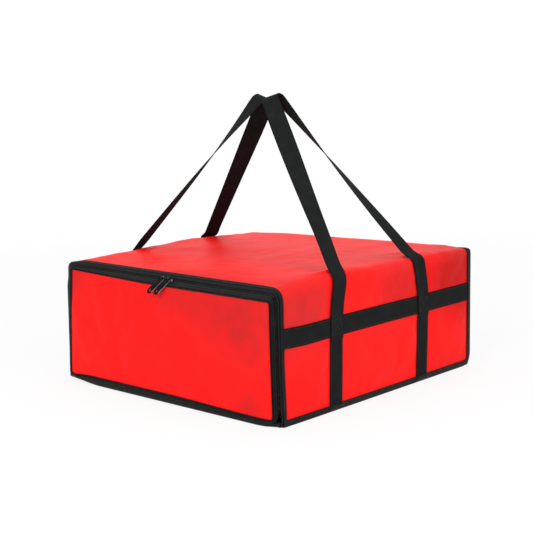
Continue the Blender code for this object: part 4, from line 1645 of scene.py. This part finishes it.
def stitch_row(line, outward):
    """Rings of thread for each stitch along a line that lies on the cloth."""
    line, outward = np.asarray(line, float), np.asarray(outward, float)
    place = lengths(line)
    count = max(1, int((place[-1] + stitch_gap) / (stitch_length + stitch_gap)))
    starts = (place[-1] - count * (stitch_length + stitch_gap) + stitch_gap) / 2
    starts = starts + np.arange(count) * (stitch_length + stitch_gap)
    shares = np.linspace(0.0, 1.0, stitch_stations)
    at = (starts[:, None] + shares * stitch_length).ravel()
    centre, ahead, behind = (read_line(at + shift, place, line) for shift in (0.0, look_ahead, -look_ahead))
    out = unit(read_line(at, place, outward))
    across = np.cross(unit(ahead - behind), out)
    arch_height = np.tile(np.sin(pi * shares), count)
    centre = centre + out * ((1.7 * arch_height - 0.9) * thread_radius)[:, None]
    girth = np.tile(0.45 + 0.55 * np.sin(pi * shares), count) * thread_radius
    rings = ring_points(centre, across, out, girth, stitch_sides)
    return rings.reshape(count, stitch_stations, stitch_sides, 3)


def sew(name, rows):
    """One piece of thread for several rows of stitches."""
    rings = np.concatenate([stitch_row(*row) for row in rows])
    count = len(rings)
    n, m = stitch_stations, stitch_sides
    faces, ends = grid_faces(n, m, around=True)[0], np.array(end_faces(n, m))
    steps = np.arange(count)[:, None, None] * n * m
    every = (faces[None] + steps).reshape(-1, 4).tolist() + (ends[None] + steps).reshape(-1, m).tolist()
    data = bpy.data.meshes.new(name)
    data.from_pydata(settle(rings).reshape(-1, 3).tolist(), [], every)
    face_outward(data)
    data.shade_smooth()
    data.materials.append(thread)
    return add_object(name, data), count


print("each stitch is", stitch_length, "m long")

# %% Rows on the binding
def on_arch(path, depth, y, lean=0.0):
    """A line at a depth and place along Y, with the direction that points off the tape's face."""
    points, outs = path
    flat = points - outs * depth
    line = np.stack([flat[:, 0], np.full(len(flat), y), flat[:, 1]], 1)
    outward = np.stack([outs[:, 0] * cos(lean), np.full(len(flat), -sin(lean)), outs[:, 1] * cos(lean)], 1)
    return line, outward


def closed_row(line, outward):
    return np.vstack([line, line[:1]]), np.vstack([outward, outward[:1]])


quarter = pi / 4
flap_rows, mouth_rows = [(0.0025, -0.0015), (0.0088, -0.0005)], [(0.0168, -0.0005), (0.0230, -0.0015)]
rows = [closed_row(*on_arch(flap_path, *slope(along, behind), quarter)) for along, behind in flap_rows]
piece, flap_stitches = sew("flap_edging_stitches", rows)
dress(piece, "flap", "binding")
rows = [on_arch(mouth_path, *slope(along, behind), quarter) for along, behind in mouth_rows]
piece, mouth_stitches = sew("mouth_edging_stitches", rows)
dress(piece, "bag", "binding")
rows = [closed_row(*on_arch(back_path, 0.0095, back + 0.0014, -pi / 2))]
rows.append(on_arch(mouth_path, -0.0015, back - 0.0095))
piece, back_stitches = sew("back_edging_stitches", rows)
dress(piece, "bag", "binding")
print("stitches:", flap_stitches, mouth_stitches, back_stitches)

# %% Rows on the webbing
def side_row(side, points, lift):
    """A row on the bag's side through places given as y and z, at a height off the side."""
    points = np.asarray(points, float)
    fine = []
    for first, second in zip(points, points[1:]):
        count = max(2, ceil(np.linalg.norm(second - first) / 0.004))
        fine += [first + (second - first) * step / count for step in range(count)]
    fine = np.array(fine + [points[-1]])
    line = np.stack([np.full(len(fine), side * (half_width + lift)), fine[:, 0], fine[:, 1]], 1)
    return line, np.tile((side, 0.0, 0.0), (len(fine), 1))


def box_cross(place, half):
    """A square of stitches with a cross in it, as y and z places in one run."""
    low, high = band_level - half, band_level + half
    a, b, c, d = (place - half, low), (place + half, low), (place + half, high), (place - half, high)
    return [[a, b], [b, c], [c, d], [d, a], [a, c], [b, d]]


edge_in = strap_half - 0.0025
over_strap, on_strap = strap_over_band + webbing_thickness / 2, strap_flat + webbing_thickness / 2
for label, side in side_signs.items():
    rows = []
    for place in strap_places[label]:
        rows += [side_row(side, run, over_strap) for run in box_cross(place, 0.0120)]
        for shift in (-edge_in, edge_in):
            run = [(place + shift, binding_width + 0.001), (place + shift, band_foot - 0.010)]
            rows.append(side_row(side, run, on_strap))
    breaks = [wall_front + 0.004]
    for place in strap_places[label]:
        breaks += [place - strap_half - 0.001, place + strap_half + 0.001]
    breaks.append(seam_back - 0.001)
    for start, end in zip(breaks[::2], breaks[1::2]):
        for shift in (-edge_in, edge_in):
            run = [(start, band_level + shift), (end, band_level + shift)]
            rows.append(side_row(side, run, on_strap))
    rows += [side_row(side, [(wall_front + 0.001, 0.0095), (seam_back, 0.0095)], 0.0015)]
    for step in (0.0, 0.0009, 0.0018, 0.0027):
        tack = [(wall_front - 0.0004, band_foot + step), (wall_front + 0.0120, band_foot + step)]
        rows.append(side_row(side, tack, on_strap + 0.0010))
    piece, count = sew(f"webbing_stitches_{label}", rows)
    dress(piece, "bag", "webbing")
print("stitches on each side:", count)

# %% [markdown]

# %% [markdown]
# ## Floor and light
#
# The floor and the room are plain white, so that nothing takes the eye from the bag. White that the camera
# sees, also in a mirror or through glass, comes from what the floor and the world show to those rays, and
# not from more light, which would wash out the red. The light itself is a large soft lamp in front, a
# weaker one on the right, a wide one above and an even room.

# %% Floor
floor_level = -0.0004
floor_reach = 40.0
floor_share = 0.84


def floor_look():
    look = Look("white_floor")
    away = look.node("ShaderNodeVectorMath", {"operation": "LENGTH"}, {0: look.place()}, output=1)
    share = floor_share + (1 - floor_share) * look.step(away, 0.9, 2.2)
    paper = look.node("ShaderNodeBsdfDiffuse", None, {"Color": colour(0.88, 0.88, 0.88)})
    glow = look.node("ShaderNodeEmission", None, {"Color": colour(1.0, 1.0, 1.0), "Strength": 1.0})
    mixed = look.node("ShaderNodeMixShader", None, {0: look.seen() * share, 1: paper, 2: glow})
    look.node("ShaderNodeOutputMaterial", None, {"Surface": mixed})
    return look.owner


floor_mesh = bpy.data.meshes.new("floor")
plane = bmesh.new()
bmesh.ops.create_grid(plane, x_segments=8, y_segments=8, size=floor_reach)
plane.to_mesh(floor_mesh)
plane.free()
floor_mesh.materials.append(floor_look())
floor = add_object("floor", floor_mesh)
floor.location.z = floor_level
print("floor reaches", floor_reach, "m")

# %% Room and lamps
room_level = 0.52
room = Look("white_room", bpy.data.worlds)
scene.world = room.owner
levels = [{"Color": colour(1.0, 1.0, 1.0), "Strength": level} for level in (room_level, 1.0)]
even, white = (room.node("ShaderNodeBackground", None, sockets) for sockets in levels)
mixed = room.node("ShaderNodeMixShader", None, {0: room.seen(), 1: even, 2: white})
room.node("ShaderNodeOutputWorld", None, {"Surface": mixed})


def lamp(name, place, size, level):
    """A square soft lamp aimed at the bag; level 1 lights a face turned to it as bright as its colour."""
    data = bpy.data.lights.new(name, "AREA")
    data.size = size
    aim = Vector((0.0, 0.0, bag_height / 2))
    away = Vector(place) - aim
    data.energy = level * pi**2 * away.length_squared
    made = add_object(name, data)
    made.location = place
    made.rotation_euler = away.to_track_quat("Z", "Y").to_euler()


lamp("front_lamp", (0.6, -3.0, 1.9), 1.8, 0.46)
lamp("right_lamp", (3.0, -0.6, 1.6), 1.8, 0.38)
lamp("top_lamp", (-0.6, 0.4, 3.2), 2.4, 0.30)
scene.view_settings.view_transform = "Standard"
